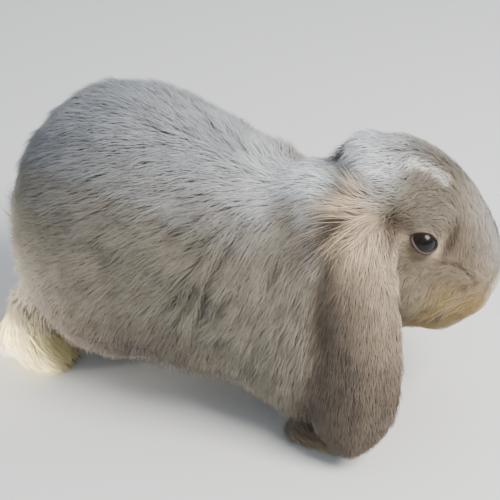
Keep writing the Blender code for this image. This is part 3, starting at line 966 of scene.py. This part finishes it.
coatTree = {  # metres, and shares of the tuft's own size
    "Spacing": 0.00077,
    "Most per area": 4000000.0,
    "Seed": 3,
    "Rings": 2,
    "Clump size": 0.0100,  # tufts of one clump share their lie
    "Clump pull": 0.17,
    "Clump order": 0.85,
    "Clump rise": 0.14,
    "Lock size": 0.0042,  # tips of one lock draw together
    "Lock pull": 0.15,
    "Lock tone": 0.8,
    "Parting depth": 0.0060,
    "Lump size": 0.020,
    "Lump height": 0.36,
    "Wander": 0.85,
    "Wander size": 0.015,
    "Stray": 0.30,
    "Uneven length": 0.25,
    "Uneven rise": 0.18,
    "Flatness": 0.35,
    "Patch": 0.003,  # a tuft's own patch in the map OFBake
    "Soft light": 0.92,
}


def makeCoatTree():
    tree = bpy.data.node_groups.new("tuftsOverSkin", "GeometryNodeTree")
    tree.interface.new_socket("Geometry", in_out="INPUT", socket_type="NodeSocketGeometry")
    for name, value in coatTree.items():
        kind = "NodeSocketInt" if isinstance(value, int) else "NodeSocketFloat"
        tree.interface.new_socket(name, in_out="INPUT", socket_type=kind).default_value = value
    tree.interface.new_socket("Material", in_out="INPUT", socket_type="NodeSocketMaterial")
    tree.interface.new_socket("Geometry", in_out="OUTPUT", socket_type="NodeSocketGeometry")
    given = addNode(tree, "NodeGroupInput").outputs

    def add(kind, inputs=None, **settings):
        return addNode(tree, kind, inputs, **settings)

    def number(operation, *values):
        return maths(tree, operation, *values)

    def vector(operation, *values):
        made = add("ShaderNodeVectorMath", operation=operation)
        for k, value in enumerate(values):
            slot = made.inputs["Scale"] if operation == "SCALE" and k == 1 else made.inputs[k]
            if isinstance(value, bpy.types.NodeSocket):
                tree.links.new(value, slot)
            else:
                slot.default_value = value
        return made.outputs["Value" if operation in ("DOT_PRODUCT", "LENGTH") else "Vector"]

    def named(name, kind="FLOAT_VECTOR"):
        return add("GeometryNodeInputNamedAttribute", {"Name": name}, data_type=kind).outputs["Attribute"]

    def stored(geometry, name, value, kind="FLOAT_VECTOR", domain="POINT"):
        inputs = {"Geometry": geometry, "Name": name, "Value": value}
        made = add("GeometryNodeStoreNamedAttribute", inputs, data_type=kind, domain=domain)
        return made.outputs["Geometry"]

    def perMetre(name):
        return number("DIVIDE", 1.0, given[name])

    def ownChance(cells):
        # a chance from -1 to 1, the same all over one cell
        first = add("ShaderNodeSeparateXYZ", {"Vector": cells["Color"]}).outputs["X"]
        return number("MULTIPLY_ADD", first, 2.0, -1.0)

    # roots, and what every tuft is told at its root
    spread = {
        "Mesh": given["Geometry"], "Distance Min": given["Spacing"], "Density Max": given["Most per area"],
        "Density Factor": named("tuftShare", "FLOAT"), "Seed": given["Seed"],
    }
    spread = add("GeometryNodeDistributePointsOnFaces", spread, distribute_method="POISSON").outputs["Points"]
    place = add("GeometryNodeInputPosition").outputs["Position"]
    limits = {0: (-1, -1, -1), 1: (1, 1, 1), "Seed": given["Seed"]}
    chance = add("FunctionNodeRandomValue", limits, data_type="FLOAT_VECTOR")
    points = stored(spread, "way.chance", chance.outputs[0])
    chance = add("ShaderNodeSeparateXYZ", {"Vector": named("way.chance")}).outputs
    outward, lie = named("outward"), named("lie")
    beside = vector("CROSS_PRODUCT", outward, lie)
    clumps = add("ShaderNodeTexVoronoi", {"Vector": place, "Scale": perMetre("Clump size")}).outputs
    toMiddle = vector("SUBTRACT", clumps["Position"], place)
    middle = vector("ADD", place, vector("SCALE", toMiddle, given["Clump order"]))
    shared = add(
        "GeometryNodeSampleNearestSurface",
        {"Mesh": given["Geometry"], "Value": lie, "Sample Position": middle},
        data_type="FLOAT_VECTOR",
    ).outputs["Value"]
    noise = add("ShaderNodeTexNoise", {"Vector": middle, "Scale": perMetre("Wander size"), "Detail": 1.5})
    drift = vector("SUBTRACT", noise.outputs["Color"], (0.5, 0.5, 0.5))
    drift = vector("SCALE", drift, number("MULTIPLY", given["Wander"], named("tuftCalm", "FLOAT")))
    aside = vector("SCALE", beside, number("MULTIPLY", chance["X"], given["Stray"]))
    way = vector("ADD", vector("ADD", shared, drift), aside)
    way = vector("SUBTRACT", way, vector("SCALE", outward, vector("DOT_PRODUCT", way, outward)))
    way = vector("NORMALIZE", way)
    uneven = number("MULTIPLY_ADD", chance["Y"], given["Uneven length"], 1.0)
    reach = number("MULTIPLY", named("tuftLength", "FLOAT"), uneven)
    uneven = number("MULTIPLY_ADD", chance["Z"], given["Uneven rise"], 0.76)
    rise = number("MULTIPLY", named("tuftRise", "FLOAT"), uneven)
    lumps = add("ShaderNodeTexNoise", {"Vector": place, "Scale": perMetre("Lump size"), "Detail": 1.0})
    lump = number("SUBTRACT", lumps.outputs["Fac"], 0.5)
    lump = number("MULTIPLY_ADD", lump, number("MULTIPLY", given["Lump height"], 2.0), 1.0)
    rise = number("MULTIPLY", rise, lump)
    own = ownChance(clumps)
    rise = number("MULTIPLY", rise, number("MULTIPLY_ADD", own, given["Clump rise"], 1.0))
    pull = number("MULTIPLY", given["Clump pull"], named("tuftGather", "FLOAT"))
    pull = vector("SCALE", toMiddle, pull)
    locks = add("ShaderNodeTexVoronoi", {"Vector": place, "Scale": perMetre("Lock size")}).outputs
    toLock = vector("SUBTRACT", locks["Position"], place)
    pull = vector("ADD", pull, vector("SCALE", toLock, given["Lock pull"]))
    tone = number("MULTIPLY", number("ADD", own, ownChance(locks)), given["Lock tone"])
    tone = number("ADD", chance["X"], tone)
    points = stored(points, "way.root", place)
    points = stored(points, "way.way", vector("SCALE", way, reach))
    points = stored(points, "way.rise", vector("SCALE", outward, rise))
    drop = number("MULTIPLY", named("tuftBend", "FLOAT"), -0.5)
    drop = number("MULTIPLY", number("MULTIPLY", reach, reach), drop)
    points = stored(points, "way.drop", vector("SCALE", outward, drop))
    points = stored(points, "way.pull", pull)
    side = vector("CROSS_PRODUCT", outward, way)
    points = stored(points, "way.side", vector("SCALE", side, named("tuftWidth", "FLOAT")))
    points = stored(points, "tone", tone, "FLOAT")

    cone = {
        "Vertices": 3, "Side Segments": given["Rings"],
        "Radius Top": 0.0, "Radius Bottom": 1.0, "Depth": 1.0,
    }
    blade = add("GeometryNodeMeshCone", cone, fill_type="NONE").outputs["Mesh"]
    blade = stored(blade, "way.shape", place)

    # each tuft is bent from a straight cone
    many = add("GeometryNodeInstanceOnPoints", {"Points": points, "Instance": blade}).outputs["Instances"]
    tufts = add("GeometryNodeRealizeInstances", {"Geometry": many}).outputs["Geometry"]
    shape = add("ShaderNodeSeparateXYZ", {"Vector": named("way.shape")}).outputs
    along = shape["Z"]
    left = number("SUBTRACT", 1.0, along)
    taper = number("POWER", number("MAXIMUM", left, 0.001), -0.40)
    arch = number("SUBTRACT", 1.0, number("MULTIPLY", left, left))
    here = vector("ADD", named("way.root"), vector("SCALE", named("way.way"), number("POWER", along, 1.2)))
    fromBelow = number("SUBTRACT", number("MULTIPLY", arch, 1.06), 0.06)  # roots start inside the skin
    here = vector("ADD", here, vector("SCALE", named("way.rise"), fromBelow))
    here = vector("ADD", here, vector("SCALE", named("way.drop"), number("POWER", along, 2.4)))
    here = vector("ADD", here, vector("SCALE", named("way.pull"), number("POWER", along, 1.5)))
    here = vector("ADD", here, vector("SCALE", named("way.side"), number("MULTIPLY", shape["X"], taper)))
    thick = number("MULTIPLY", named("tuftWidth", "FLOAT"), given["Flatness"])
    thick = number("MULTIPLY", number("MULTIPLY", shape["Y"], taper), thick)
    here = vector("ADD", here, vector("SCALE", outward, thick))
    parting = add(
        "GeometryNodeSampleNearestSurface",
        {"Mesh": given["Geometry"], "Value": named("parting", "FLOAT"), "Sample Position": here},
        data_type="FLOAT",
    ).outputs["Value"]
    sink = number("MULTIPLY", number("MULTIPLY", parting, arch), given["Parting depth"])
    here = vector("SUBTRACT", here, vector("SCALE", outward, sink))
    parts = add("ShaderNodeSeparateXYZ", {"Vector": here}).outputs
    high = number("MAXIMUM", parts["Z"], 0.0004)
    here = add("ShaderNodeCombineXYZ", {"X": parts["X"], "Y": parts["Y"], "Z": high}).outputs["Vector"]
    tufts = stored(tufts, "way.parting", parting, "FLOAT")
    tufts = add("GeometryNodeSetPosition", {"Geometry": tufts, "Position": here}).outputs["Geometry"]
    tufts = stored(tufts, "parting", named("way.parting", "FLOAT"), "FLOAT")
    tufts = stored(tufts, "along", along, "FLOAT")
    patch = add("ShaderNodeCombineXYZ", {
        "X": number("ADD", number("MULTIPLY", shape["X"], 0.4), number("MULTIPLY", shape["Y"], 0.3)),
        "Y": number("SUBTRACT", along, 0.5),
    }).outputs["Vector"]
    unwrapped = vector("ADD", named("rootMap"), vector("SCALE", patch, given["Patch"]))
    tufts = stored(tufts, "OFBake", unwrapped, "FLOAT2", "CORNER")
    own = add("GeometryNodeInputNormal").outputs["Normal"]
    loose = number("MULTIPLY_ADD", named("tuftGather", "FLOAT"), -0.15, 1.15)
    soft = add("ShaderNodeMix", data_type="VECTOR")
    for key, value in ((0, number("MULTIPLY", given["Soft light"], loose)), (4, own), (5, outward)):
        tree.links.new(value, soft.inputs[key])
    tufts = add("GeometryNodeSetShadeSmooth", {"Geometry": tufts}).outputs["Geometry"]
    light = add("GeometryNodeSetMeshNormal", {"Mesh": tufts}, mode="FREE", domain="POINT")
    tree.links.new(vector("NORMALIZE", soft.outputs[1]), light.inputs[-1])
    tufts = light.outputs["Mesh"]
    for pattern in ("way.*", "in_*", "lie", "outward", "rootMap", "tuft*", "cutLine"):
        used = {"Geometry": tufts, "Name": pattern}
        tufts = add("GeometryNodeRemoveAttribute", used, pattern_mode="WILDCARD").outputs["Geometry"]
    tufts = add("GeometryNodeRealizeInstances", {"Geometry": tufts}).outputs["Geometry"]
    dressed = {"Geometry": tufts, "Material": given["Material"]}
    tufts = add("GeometryNodeSetMaterial", dressed).outputs["Geometry"]
    tree.links.new(tufts, add("NodeGroupOutput").inputs["Geometry"])
    return tree


tuftTree = makeCoatTree()


def inputIds(tree):
    sockets = [s for s in tree.interface.items_tree if s.item_type == "SOCKET"]
    return {s.name: s.identifier for s in sockets if s.in_out == "INPUT"}


socketId = inputIds(tuftTree)


def skinPatch(name, keep):
    # the faces of the skin that a piece of coat grows on, unwrapped by their own shape
    bm = bmesh.new()
    bm.from_mesh(skin.data)
    bm.faces.ensure_lookup_table()
    bmesh.ops.delete(bm, geom=[bm.faces[i] for i in np.nonzero(~keep)[0]], context="FACES")
    mesh = bpy.data.meshes.new(name)
    bm.to_mesh(mesh)
    bm.free()
    patch = newObject(name, mesh)
    bpy.context.view_layer.objects.active = patch
    mesh.uv_layers.new(name="rootMap")
    bpy.ops.object.select_all(action="DESELECT")
    patch.select_set(True)
    bpy.ops.object.mode_set(mode="EDIT")
    bpy.ops.mesh.select_all(action="SELECT")
    bpy.ops.uv.smart_project(angle_limit=math.radians(60), island_margin=0.004)
    bpy.ops.object.mode_set(mode="OBJECT")
    return patch


def growCoat(name, keep, slot, **changes):
    patch = skinPatch(name, keep)
    modifier = patch.modifiers.new("coat", "NODES")
    modifier.node_group = tuftTree
    for key, value in {**coatTree, **changes}.items():
        modifier[socketId[key]] = value
    modifier[socketId["Material"]] = coatMaterial
    coat = plainMesh(patch, name)
    coat.data.calc_loop_triangles()
    print(name, len(coat.data.loop_triangles), "triangles")
    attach(coat, "root")
    return coat


def faceTable():
    # each face's middle and the region it belongs to
    mesh = skin.data
    centres = np.empty(len(mesh.polygons) * 3, np.float32)
    mesh.polygons.foreach_get("center", centres)
    corners = np.empty(len(mesh.loops), np.int32)
    mesh.loops.foreach_get("vertex_index", corners)
    starts = np.empty(len(mesh.polygons), np.int32)
    mesh.polygons.foreach_get("loop_start", starts)
    shares = [attributeOf(mesh, "in_" + name)[corners[starts]] for name in cadGroups]
    return centres.reshape(-1, 3).astype(float), np.argmax(shares, axis=0)


bodySeeds = {"rump": 3, "loin": 4, "flank": 5, "side": 13, "chest": 6}
bodyCuts = (-1, -0.096, -0.060, -0.020, 0.028, 1)  # from the back to the front
faceFrom = 48  # millimetres forward in the head
crownChanges = {
    "Spacing": 0.00062, "Clump size": 0.0075, "Clump rise": 0.05,
    "Lock pull": 0.14, "Lump height": 0.15, "Wander": 0.55,
}
faceChanges = {
    "Spacing": 0.00064, "Clump size": 0.0060, "Clump rise": 0.05,
    "Lock pull": 0.18, "Lump height": 0.15, "Wander": 0.55,
}
earChanges = {
    "Spacing": 0.00075, "Clump rise": 0.05, "Lock size": 0.0050,
    "Lock tone": 1.1, "Wander": 0.35, "Lump height": 0.2,
}
footChanges = {"Lock size": 0.0060, "Lock pull": 0.55, "Lock tone": 1.2}

centres, region = faceTable()
isBody, isHead, isEar, isFoot, isTail = (region == k for k in range(len(cadGroups)))
onFace = toHead(centres)[:, 0] >= faceFrom
onRight = centres[:, 1] < 0
for k, (name, seed) in enumerate(bodySeeds.items()):
    inPiece = (centres[:, 0] >= bodyCuts[k]) & (centres[:, 0] < bodyCuts[k + 1])
    growCoat("coat_" + name, isBody & inPiece, "coat_body", Seed=seed)
growCoat("coat_crown", isHead & ~onFace, "coat_face", Seed=7, **crownChanges)
growCoat("coat_face", isHead & onFace, "coat_face", Seed=8, **faceChanges)
growCoat("coat_ear_right", isEar & onRight, "coat_ear", Seed=9, **earChanges)
growCoat("coat_ear_left", isEar & ~onRight, "coat_ear", Seed=10, **earChanges)
growCoat("coat_feet", isFoot, "coat_foot", Seed=11, **footChanges)
growCoat("coat_tail", isTail, "coat_body", Seed=12)

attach(skin, "root")
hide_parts(*[n for group in cadGroups.values() for n in group])


rodTree = {"Sides": 6, "Rings": 7, "Fullness": -0.35}  # fullness keeps the rod thick to near its tip


def makeRodTree():
    # a bent, pointed rod on each point: whiskers and claws
    tree = bpy.data.node_groups.new("rodsOnPoints", "GeometryNodeTree")
    tree.interface.new_socket("Geometry", in_out="INPUT", socket_type="NodeSocketGeometry")
    for name, value in rodTree.items():
        kind = "NodeSocketInt" if isinstance(value, int) else "NodeSocketFloat"
        tree.interface.new_socket(name, in_out="INPUT", socket_type=kind).default_value = value
    tree.interface.new_socket("Material", in_out="INPUT", socket_type="NodeSocketMaterial")
    tree.interface.new_socket("Geometry", in_out="OUTPUT", socket_type="NodeSocketGeometry")
    given = addNode(tree, "NodeGroupInput").outputs

    def vector(operation, first, second=(0, 0, 0)):
        made = addNode(tree, "ShaderNodeVectorMath", {0: first}, operation=operation)
        slot = made.inputs["Scale"] if operation == "SCALE" else made.inputs[1]
        if isinstance(second, bpy.types.NodeSocket):
            tree.links.new(second, slot)
        else:
            slot.default_value = second
        return made.outputs["Vector"]

    def named(name, kind="FLOAT_VECTOR"):
        made = addNode(tree, "GeometryNodeInputNamedAttribute", {"Name": name}, data_type=kind)
        return made.outputs["Attribute"]

    def stored(geometry, name, value, kind="FLOAT_VECTOR"):
        inputs = {"Geometry": geometry, "Name": name, "Value": value}
        return addNode(tree, "GeometryNodeStoreNamedAttribute", inputs, data_type=kind).outputs["Geometry"]

    place = addNode(tree, "GeometryNodeInputPosition").outputs["Position"]
    points = addNode(tree, "GeometryNodeMeshToPoints", {"Mesh": given["Geometry"]}).outputs["Points"]
    points = stored(points, "rod.root", place)
    cone = {
        "Vertices": given["Sides"], "Side Segments": given["Rings"],
        "Radius Top": 0.0, "Radius Bottom": 1.0, "Depth": 1.0,
    }
    rod = addNode(tree, "GeometryNodeMeshCone", cone).outputs["Mesh"]
    rod = stored(rod, "rod.shape", place)
    many = addNode(tree, "GeometryNodeInstanceOnPoints", {"Points": points, "Instance": rod})
    many = many.outputs["Instances"]
    rods = addNode(tree, "GeometryNodeRealizeInstances", {"Geometry": many}).outputs["Geometry"]
    shape = addNode(tree, "ShaderNodeSeparateXYZ", {"Vector": named("rod.shape")}).outputs
    along = shape["Z"]
    left = maths(tree, "MAXIMUM", maths(tree, "SUBTRACT", 1.0, along), 0.001)
    full = maths(tree, "MULTIPLY", maths(tree, "POWER", left, given["Fullness"]), named("rod.width", "FLOAT"))
    beside = vector("NORMALIZE", vector("CROSS_PRODUCT", named("rod.way"), (0.1, 0.05, 1.0)))
    above = vector("NORMALIZE", vector("CROSS_PRODUCT", beside, named("rod.way")))
    here = vector("ADD", named("rod.root"), vector("SCALE", named("rod.way"), along))
    here = vector("ADD", here, vector("SCALE", named("rod.bend"), maths(tree, "MULTIPLY", along, along)))
    here = vector("ADD", here, vector("SCALE", beside, maths(tree, "MULTIPLY", shape["X"], full)))
    here = vector("ADD", here, vector("SCALE", above, maths(tree, "MULTIPLY", shape["Y"], full)))
    rods = addNode(tree, "GeometryNodeSetPosition", {"Geometry": rods, "Position": here}).outputs["Geometry"]
    rods = stored(rods, "along", along, "FLOAT")
    rods = addNode(tree, "GeometryNodeSetShadeSmooth", {"Geometry": rods}).outputs["Geometry"]
    used = {"Geometry": rods, "Name": "rod.*"}
    rods = addNode(tree, "GeometryNodeRemoveAttribute", used, pattern_mode="WILDCARD").outputs["Geometry"]
    rods = addNode(tree, "GeometryNodeRealizeInstances", {"Geometry": rods}).outputs["Geometry"]
    dressed = {"Geometry": rods, "Material": given["Material"]}
    rods = addNode(tree, "GeometryNodeSetMaterial", dressed).outputs["Geometry"]
    tree.links.new(rods, addNode(tree, "NodeGroupOutput").inputs["Geometry"])
    return tree


rodNodes = makeRodTree()
rodSocket = inputIds(rodNodes)
skinTree = BVHTree.FromPolygons([v.co for v in skin.data.vertices], [p.vertices for p in skin.data.polygons])


def growRods(name, rods, material, **changes):
    # rods: root, way, bend at the tip and width of each
    mesh = bpy.data.meshes.new(name)
    mesh.from_pydata([tuple(rod[0]) for rod in rods], [], [])
    for k, key in ((1, "rod.way"), (2, "rod.bend")):
        setAttribute(mesh, key, [tuple(rod[k]) for rod in rods], "FLOAT_VECTOR")
    setAttribute(mesh, "rod.width", [rod[3] for rod in rods])
    grown = newObject(name, mesh)
    modifier = grown.modifiers.new("rods", "NODES")
    modifier.node_group = rodNodes
    for key, value in {**rodTree, **changes}.items():
        modifier[rodSocket[key]] = value
    modifier[rodSocket["Material"]] = material
    grown = plainMesh(grown, name)
    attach(grown, "root")
    print(name, len(rods), "grown")


def makeRodMaterial(name, base, tip, roughness):
    material, tree, shader = newMaterial(name)
    place = addNode(tree, "ShaderNodeTexCoord").outputs["Object"]
    streaks = {"Vector": place, "Scale": 700.0, "Detail": 2.0}
    streaks = addNode(tree, "ShaderNodeTexNoise", streaks).outputs["Fac"]
    colour = mixed(tree, attribute(tree, "along"), base, tip)
    colour = mixed(tree, 1.0, colour, maths(tree, "MULTIPLY_ADD", streaks, 0.5, 0.75), "MULTIPLY")
    tree.links.new(colour, shader.inputs["Base Color"])
    shader.inputs["Roughness"].default_value = roughness
    return material


whisker = {  # places in the head's millimetres, ways in its axes, sizes in metres
    "rows": 3,
    "columns": 4,
    "first": (95, -9),  # forward and up
    "columnStep": 3.4,
    "rowStep": (-1.2, -4.2),
    "uneven": 0.6,
    "length": 0.034,
    "shorter": 0.13,  # by each column forward
    "width": 0.00007,
    "bend": (-0.22, -0.10, -0.20),
    "seed": 5,
}


def whiskerRods():
    chance = np.random.default_rng(whisker["seed"])
    turnBack = np.array(headTurn).T
    rods = []
    for way in sides.values():
        for row in range(whisker["rows"]):
            for column in range(whisker["columns"]):
                forward = whisker["first"][0] + whisker["columnStep"] * column + whisker["rowStep"][0] * row
                forward += chance.uniform(-whisker["uneven"], whisker["uneven"])
                up = whisker["first"][1] + whisker["rowStep"][1] * row
                up += chance.uniform(-whisker["uneven"], whisker["uneven"])
                start, aim = fromHead(((forward, way * 60, up), (forward, 0, up)))
                hit = skinTree.ray_cast(Vector(start), Vector(aim - start))
                if hit[0] is None:
                    continue
                length = whisker["length"] * (1 - whisker["shorter"] * column) * chance.uniform(0.8, 1.1)
                out = unit(np.array((-0.45 - 0.1 * column, way * 0.75, -0.10 - 0.16 * row))) @ turnBack
                bend = (np.array(whisker["bend"]) * (1, way, 1)) @ turnBack
                rods.append((np.array(hit[0]) - out * 0.001, out * length, bend * length, whisker["width"]))
    return rods


claw = {
    "length": 0.0085,
    "width": 0.00115,
    "across": (-0.0078, -0.0027, 0.0027, 0.0078),
    "height": 0.0056,
    "inFur": 0.25,  # share of its length inside the skin
    "splay": 18,
    "slope": -0.22,
    "hook": -0.0018,
}
toes = {  # place of each foot's front edge, in metres, and its heading in degrees
    "foreRight": (0.1083, -0.0426, 6),
    "foreLeft": (0.0963, 0.0314, 6),
    "hindRight": (-0.0847, -0.0551, -2),
    "hindLeft": (-0.0217, 0.0474, 7),
}


def clawRods():
    rods = []
    for x, y, heading in toes.values():
        ahead = Vector((math.cos(math.radians(heading)), math.sin(math.radians(heading)), 0))
        beside = Vector((-ahead.y, ahead.x, 0))
        for across in claw["across"]:
            start = Vector((x, y, claw["height"])) + beside * across + ahead * 0.02
            hit = skinTree.ray_cast(start, -ahead, 0.06)
            if hit[0] is None:
                continue
            spread = ahead + beside * across * claw["splay"]
            way = (spread.normalized() + Vector((0, 0, claw["slope"]))) * claw["length"]
            rods.append((hit[0] - way * claw["inFur"], way, (0, 0, claw["hook"]), claw["width"]))
    return rods


whiskerHair = makeRodMaterial("whiskerHair", (0.24, 0.20, 0.16), (0.46, 0.42, 0.37), 0.45)
horn = makeRodMaterial("horn", (0.16, 0.12, 0.10), (0.36, 0.31, 0.26), 0.35)
growRods("whiskers", whiskerRods(), whiskerHair)
growRods("claws", clawRods(), horn, Sides=10)

eyeball = {  # millimetres, the cornea's reach in radians
    "cornea": 0.55,
    "corneaReach": 0.74,
    "inset": 0.05,
    "pupil": 3.0,
    "iris": 6.3,
    "pupilColour": (0.003, 0.003, 0.003),
    "irisDark": (0.003, 0.002, 0.002),
    "irisLight": (0.016, 0.010, 0.007),
    "aroundIris": (0.012, 0.009, 0.008),
}


def makeEyeMaterial():
    material, tree, shader = newMaterial("wetEye")
    gaze = attribute(tree, "gaze")
    place = addNode(tree, "ShaderNodeTexCoord").outputs["Object"]
    flecks = {"Vector": place, "Scale": 900.0, "Detail": 4.0}
    flecks = addNode(tree, "ShaderNodeTexNoise", flecks).outputs["Fac"]
    iris = mixed(tree, flecks, eyeball["irisDark"], eyeball["irisLight"])
    inPupil = maths(tree, "SUBTRACT", eyeball["pupil"], gaze)
    inPupil = maths(tree, "MULTIPLY_ADD", inPupil, 2.5, 0.5, clamp=True)
    offIris = maths(tree, "SUBTRACT", gaze, eyeball["iris"])
    offIris = maths(tree, "MULTIPLY_ADD", offIris, 2.0, 0.5, clamp=True)
    colour = mixed(tree, inPupil, iris, eyeball["pupilColour"])
    colour = mixed(tree, offIris, colour, eyeball["aroundIris"])
    tree.links.new(colour, shader.inputs["Base Color"])
    shader.inputs["Roughness"].default_value = 0.35
    shader.inputs["Specular IOR Level"].default_value = 0.1
    shader.inputs["Coat Weight"].default_value = 0.32
    shader.inputs["Coat Roughness"].default_value = 0.03
    return material


def makeEyeball(side, material):
    bm = bmesh.new()
    bmesh.ops.create_uvsphere(bm, u_segments=48, v_segments=36, radius=1)
    mesh = bpy.data.meshes.new(f"eyeball_{side}")
    bm.to_mesh(mesh)
    bm.free()
    places, _, _ = arraysOf(mesh)
    angle = np.arccos(np.clip(places[:, 2], -1, 1))
    bulge = np.clip(1 - (angle / eyeball["corneaReach"])**2, 0, 1)
    radius = eyeRadius - eyeball["inset"] + eyeball["cornea"] * bulge
    look = headTurn @ Vector(eyeAxes(side)[0])
    turn = np.array(look.to_track_quat("Z", "Y").to_matrix())
    placeVertices(mesh, (places * radius[:, None] / 1000) @ turn.T + np.array(eyeMiddles[side]))
    setAttribute(mesh, "gaze", angle * eyeRadius)
    mesh.shade_smooth()
    mesh.materials.append(material)
    ball = newObject(mesh.name, mesh)
    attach(ball, "root")
    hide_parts(f"eye_{side}")


eyeMaterial = makeEyeMaterial()
for side in sides:
    makeEyeball(side, eyeMaterial)
print("eyes made")

view = {
    "azimuth": 27,
    "elevation": 32,
    "distance": 0.75,
    "lens": 88.56,
    "target": (0.01133, 0.00843, 0.08),
}


def makeCamera():
    a, e = math.radians(view["azimuth"]), math.radians(view["elevation"])
    back = Vector((math.sin(a) * math.cos(e), -math.cos(a) * math.cos(e), math.sin(e)))
    camera = bpy.data.objects.new("camera", bpy.data.cameras.new("camera"))
    bpy.context.scene.collection.objects.link(camera)
    camera.data.lens = view["lens"]
    camera.data.sensor_width = 36
    camera.location = Vector(view["target"]) + back * view["distance"]
    camera.rotation_mode = "QUATERNION"
    camera.rotation_quaternion = (-back).to_track_quat("-Z", "Y")
    bpy.context.scene.camera = camera


studio = {
    "floorSize": 4,
    "sky": (0.84, 0.92, 1, 1),
    "strength": 0.60,
}
middle = (0, 0, 0.08)
hindFoot = (-0.115, -0.055, 0.018)
lamps = {
    "key": {
        "at": (0.95, -0.10, 1.05), "aim": middle, "spread": 180,
        "size": 0.7, "power": 36, "colour": (1.0, 0.96, 0.90),
    },
    "top": {
        "at": (0.10, 0.50, 1.40), "aim": middle, "spread": 180,
        "size": 1.0, "power": 5, "colour": (0.92, 0.96, 1.0),
    },
    "low": {
        "at": (-0.44, -0.38, 0.03), "aim": hindFoot, "spread": 18,
        "size": 0.08, "power": 0.20, "colour": (1.0, 0.94, 0.82),
    },
}


def makeStudio():
    mesh = bpy.data.meshes.new("floor")
    bm = bmesh.new()
    bmesh.ops.create_grid(bm, x_segments=1, y_segments=1, size=studio["floorSize"])
    bm.to_mesh(mesh)
    bm.free()
    floor = newObject("floor", mesh)
    world = bpy.data.worlds.new("studio")
    bpy.context.scene.world = world
    world.use_nodes = True
    background = world.node_tree.nodes["Background"].inputs
    background["Color"].default_value = studio["sky"]
    background["Strength"].default_value = studio["strength"]
    for name, lamp in lamps.items():
        light = bpy.data.objects.new(name, bpy.data.lights.new(name, "AREA"))
        bpy.context.scene.collection.objects.link(light)
        light.data.size = lamp["size"]
        light.data.energy = lamp["power"]
        light.data.color = lamp["colour"]
        light.data.spread = math.radians(lamp["spread"])
        light.location = lamp["at"]
        light.rotation_mode = "QUATERNION"
        light.rotation_quaternion = (Vector(lamp["aim"]) - light.location).to_track_quat("-Z", "Y")


makeCamera()
makeStudio()
print("camera and light made")
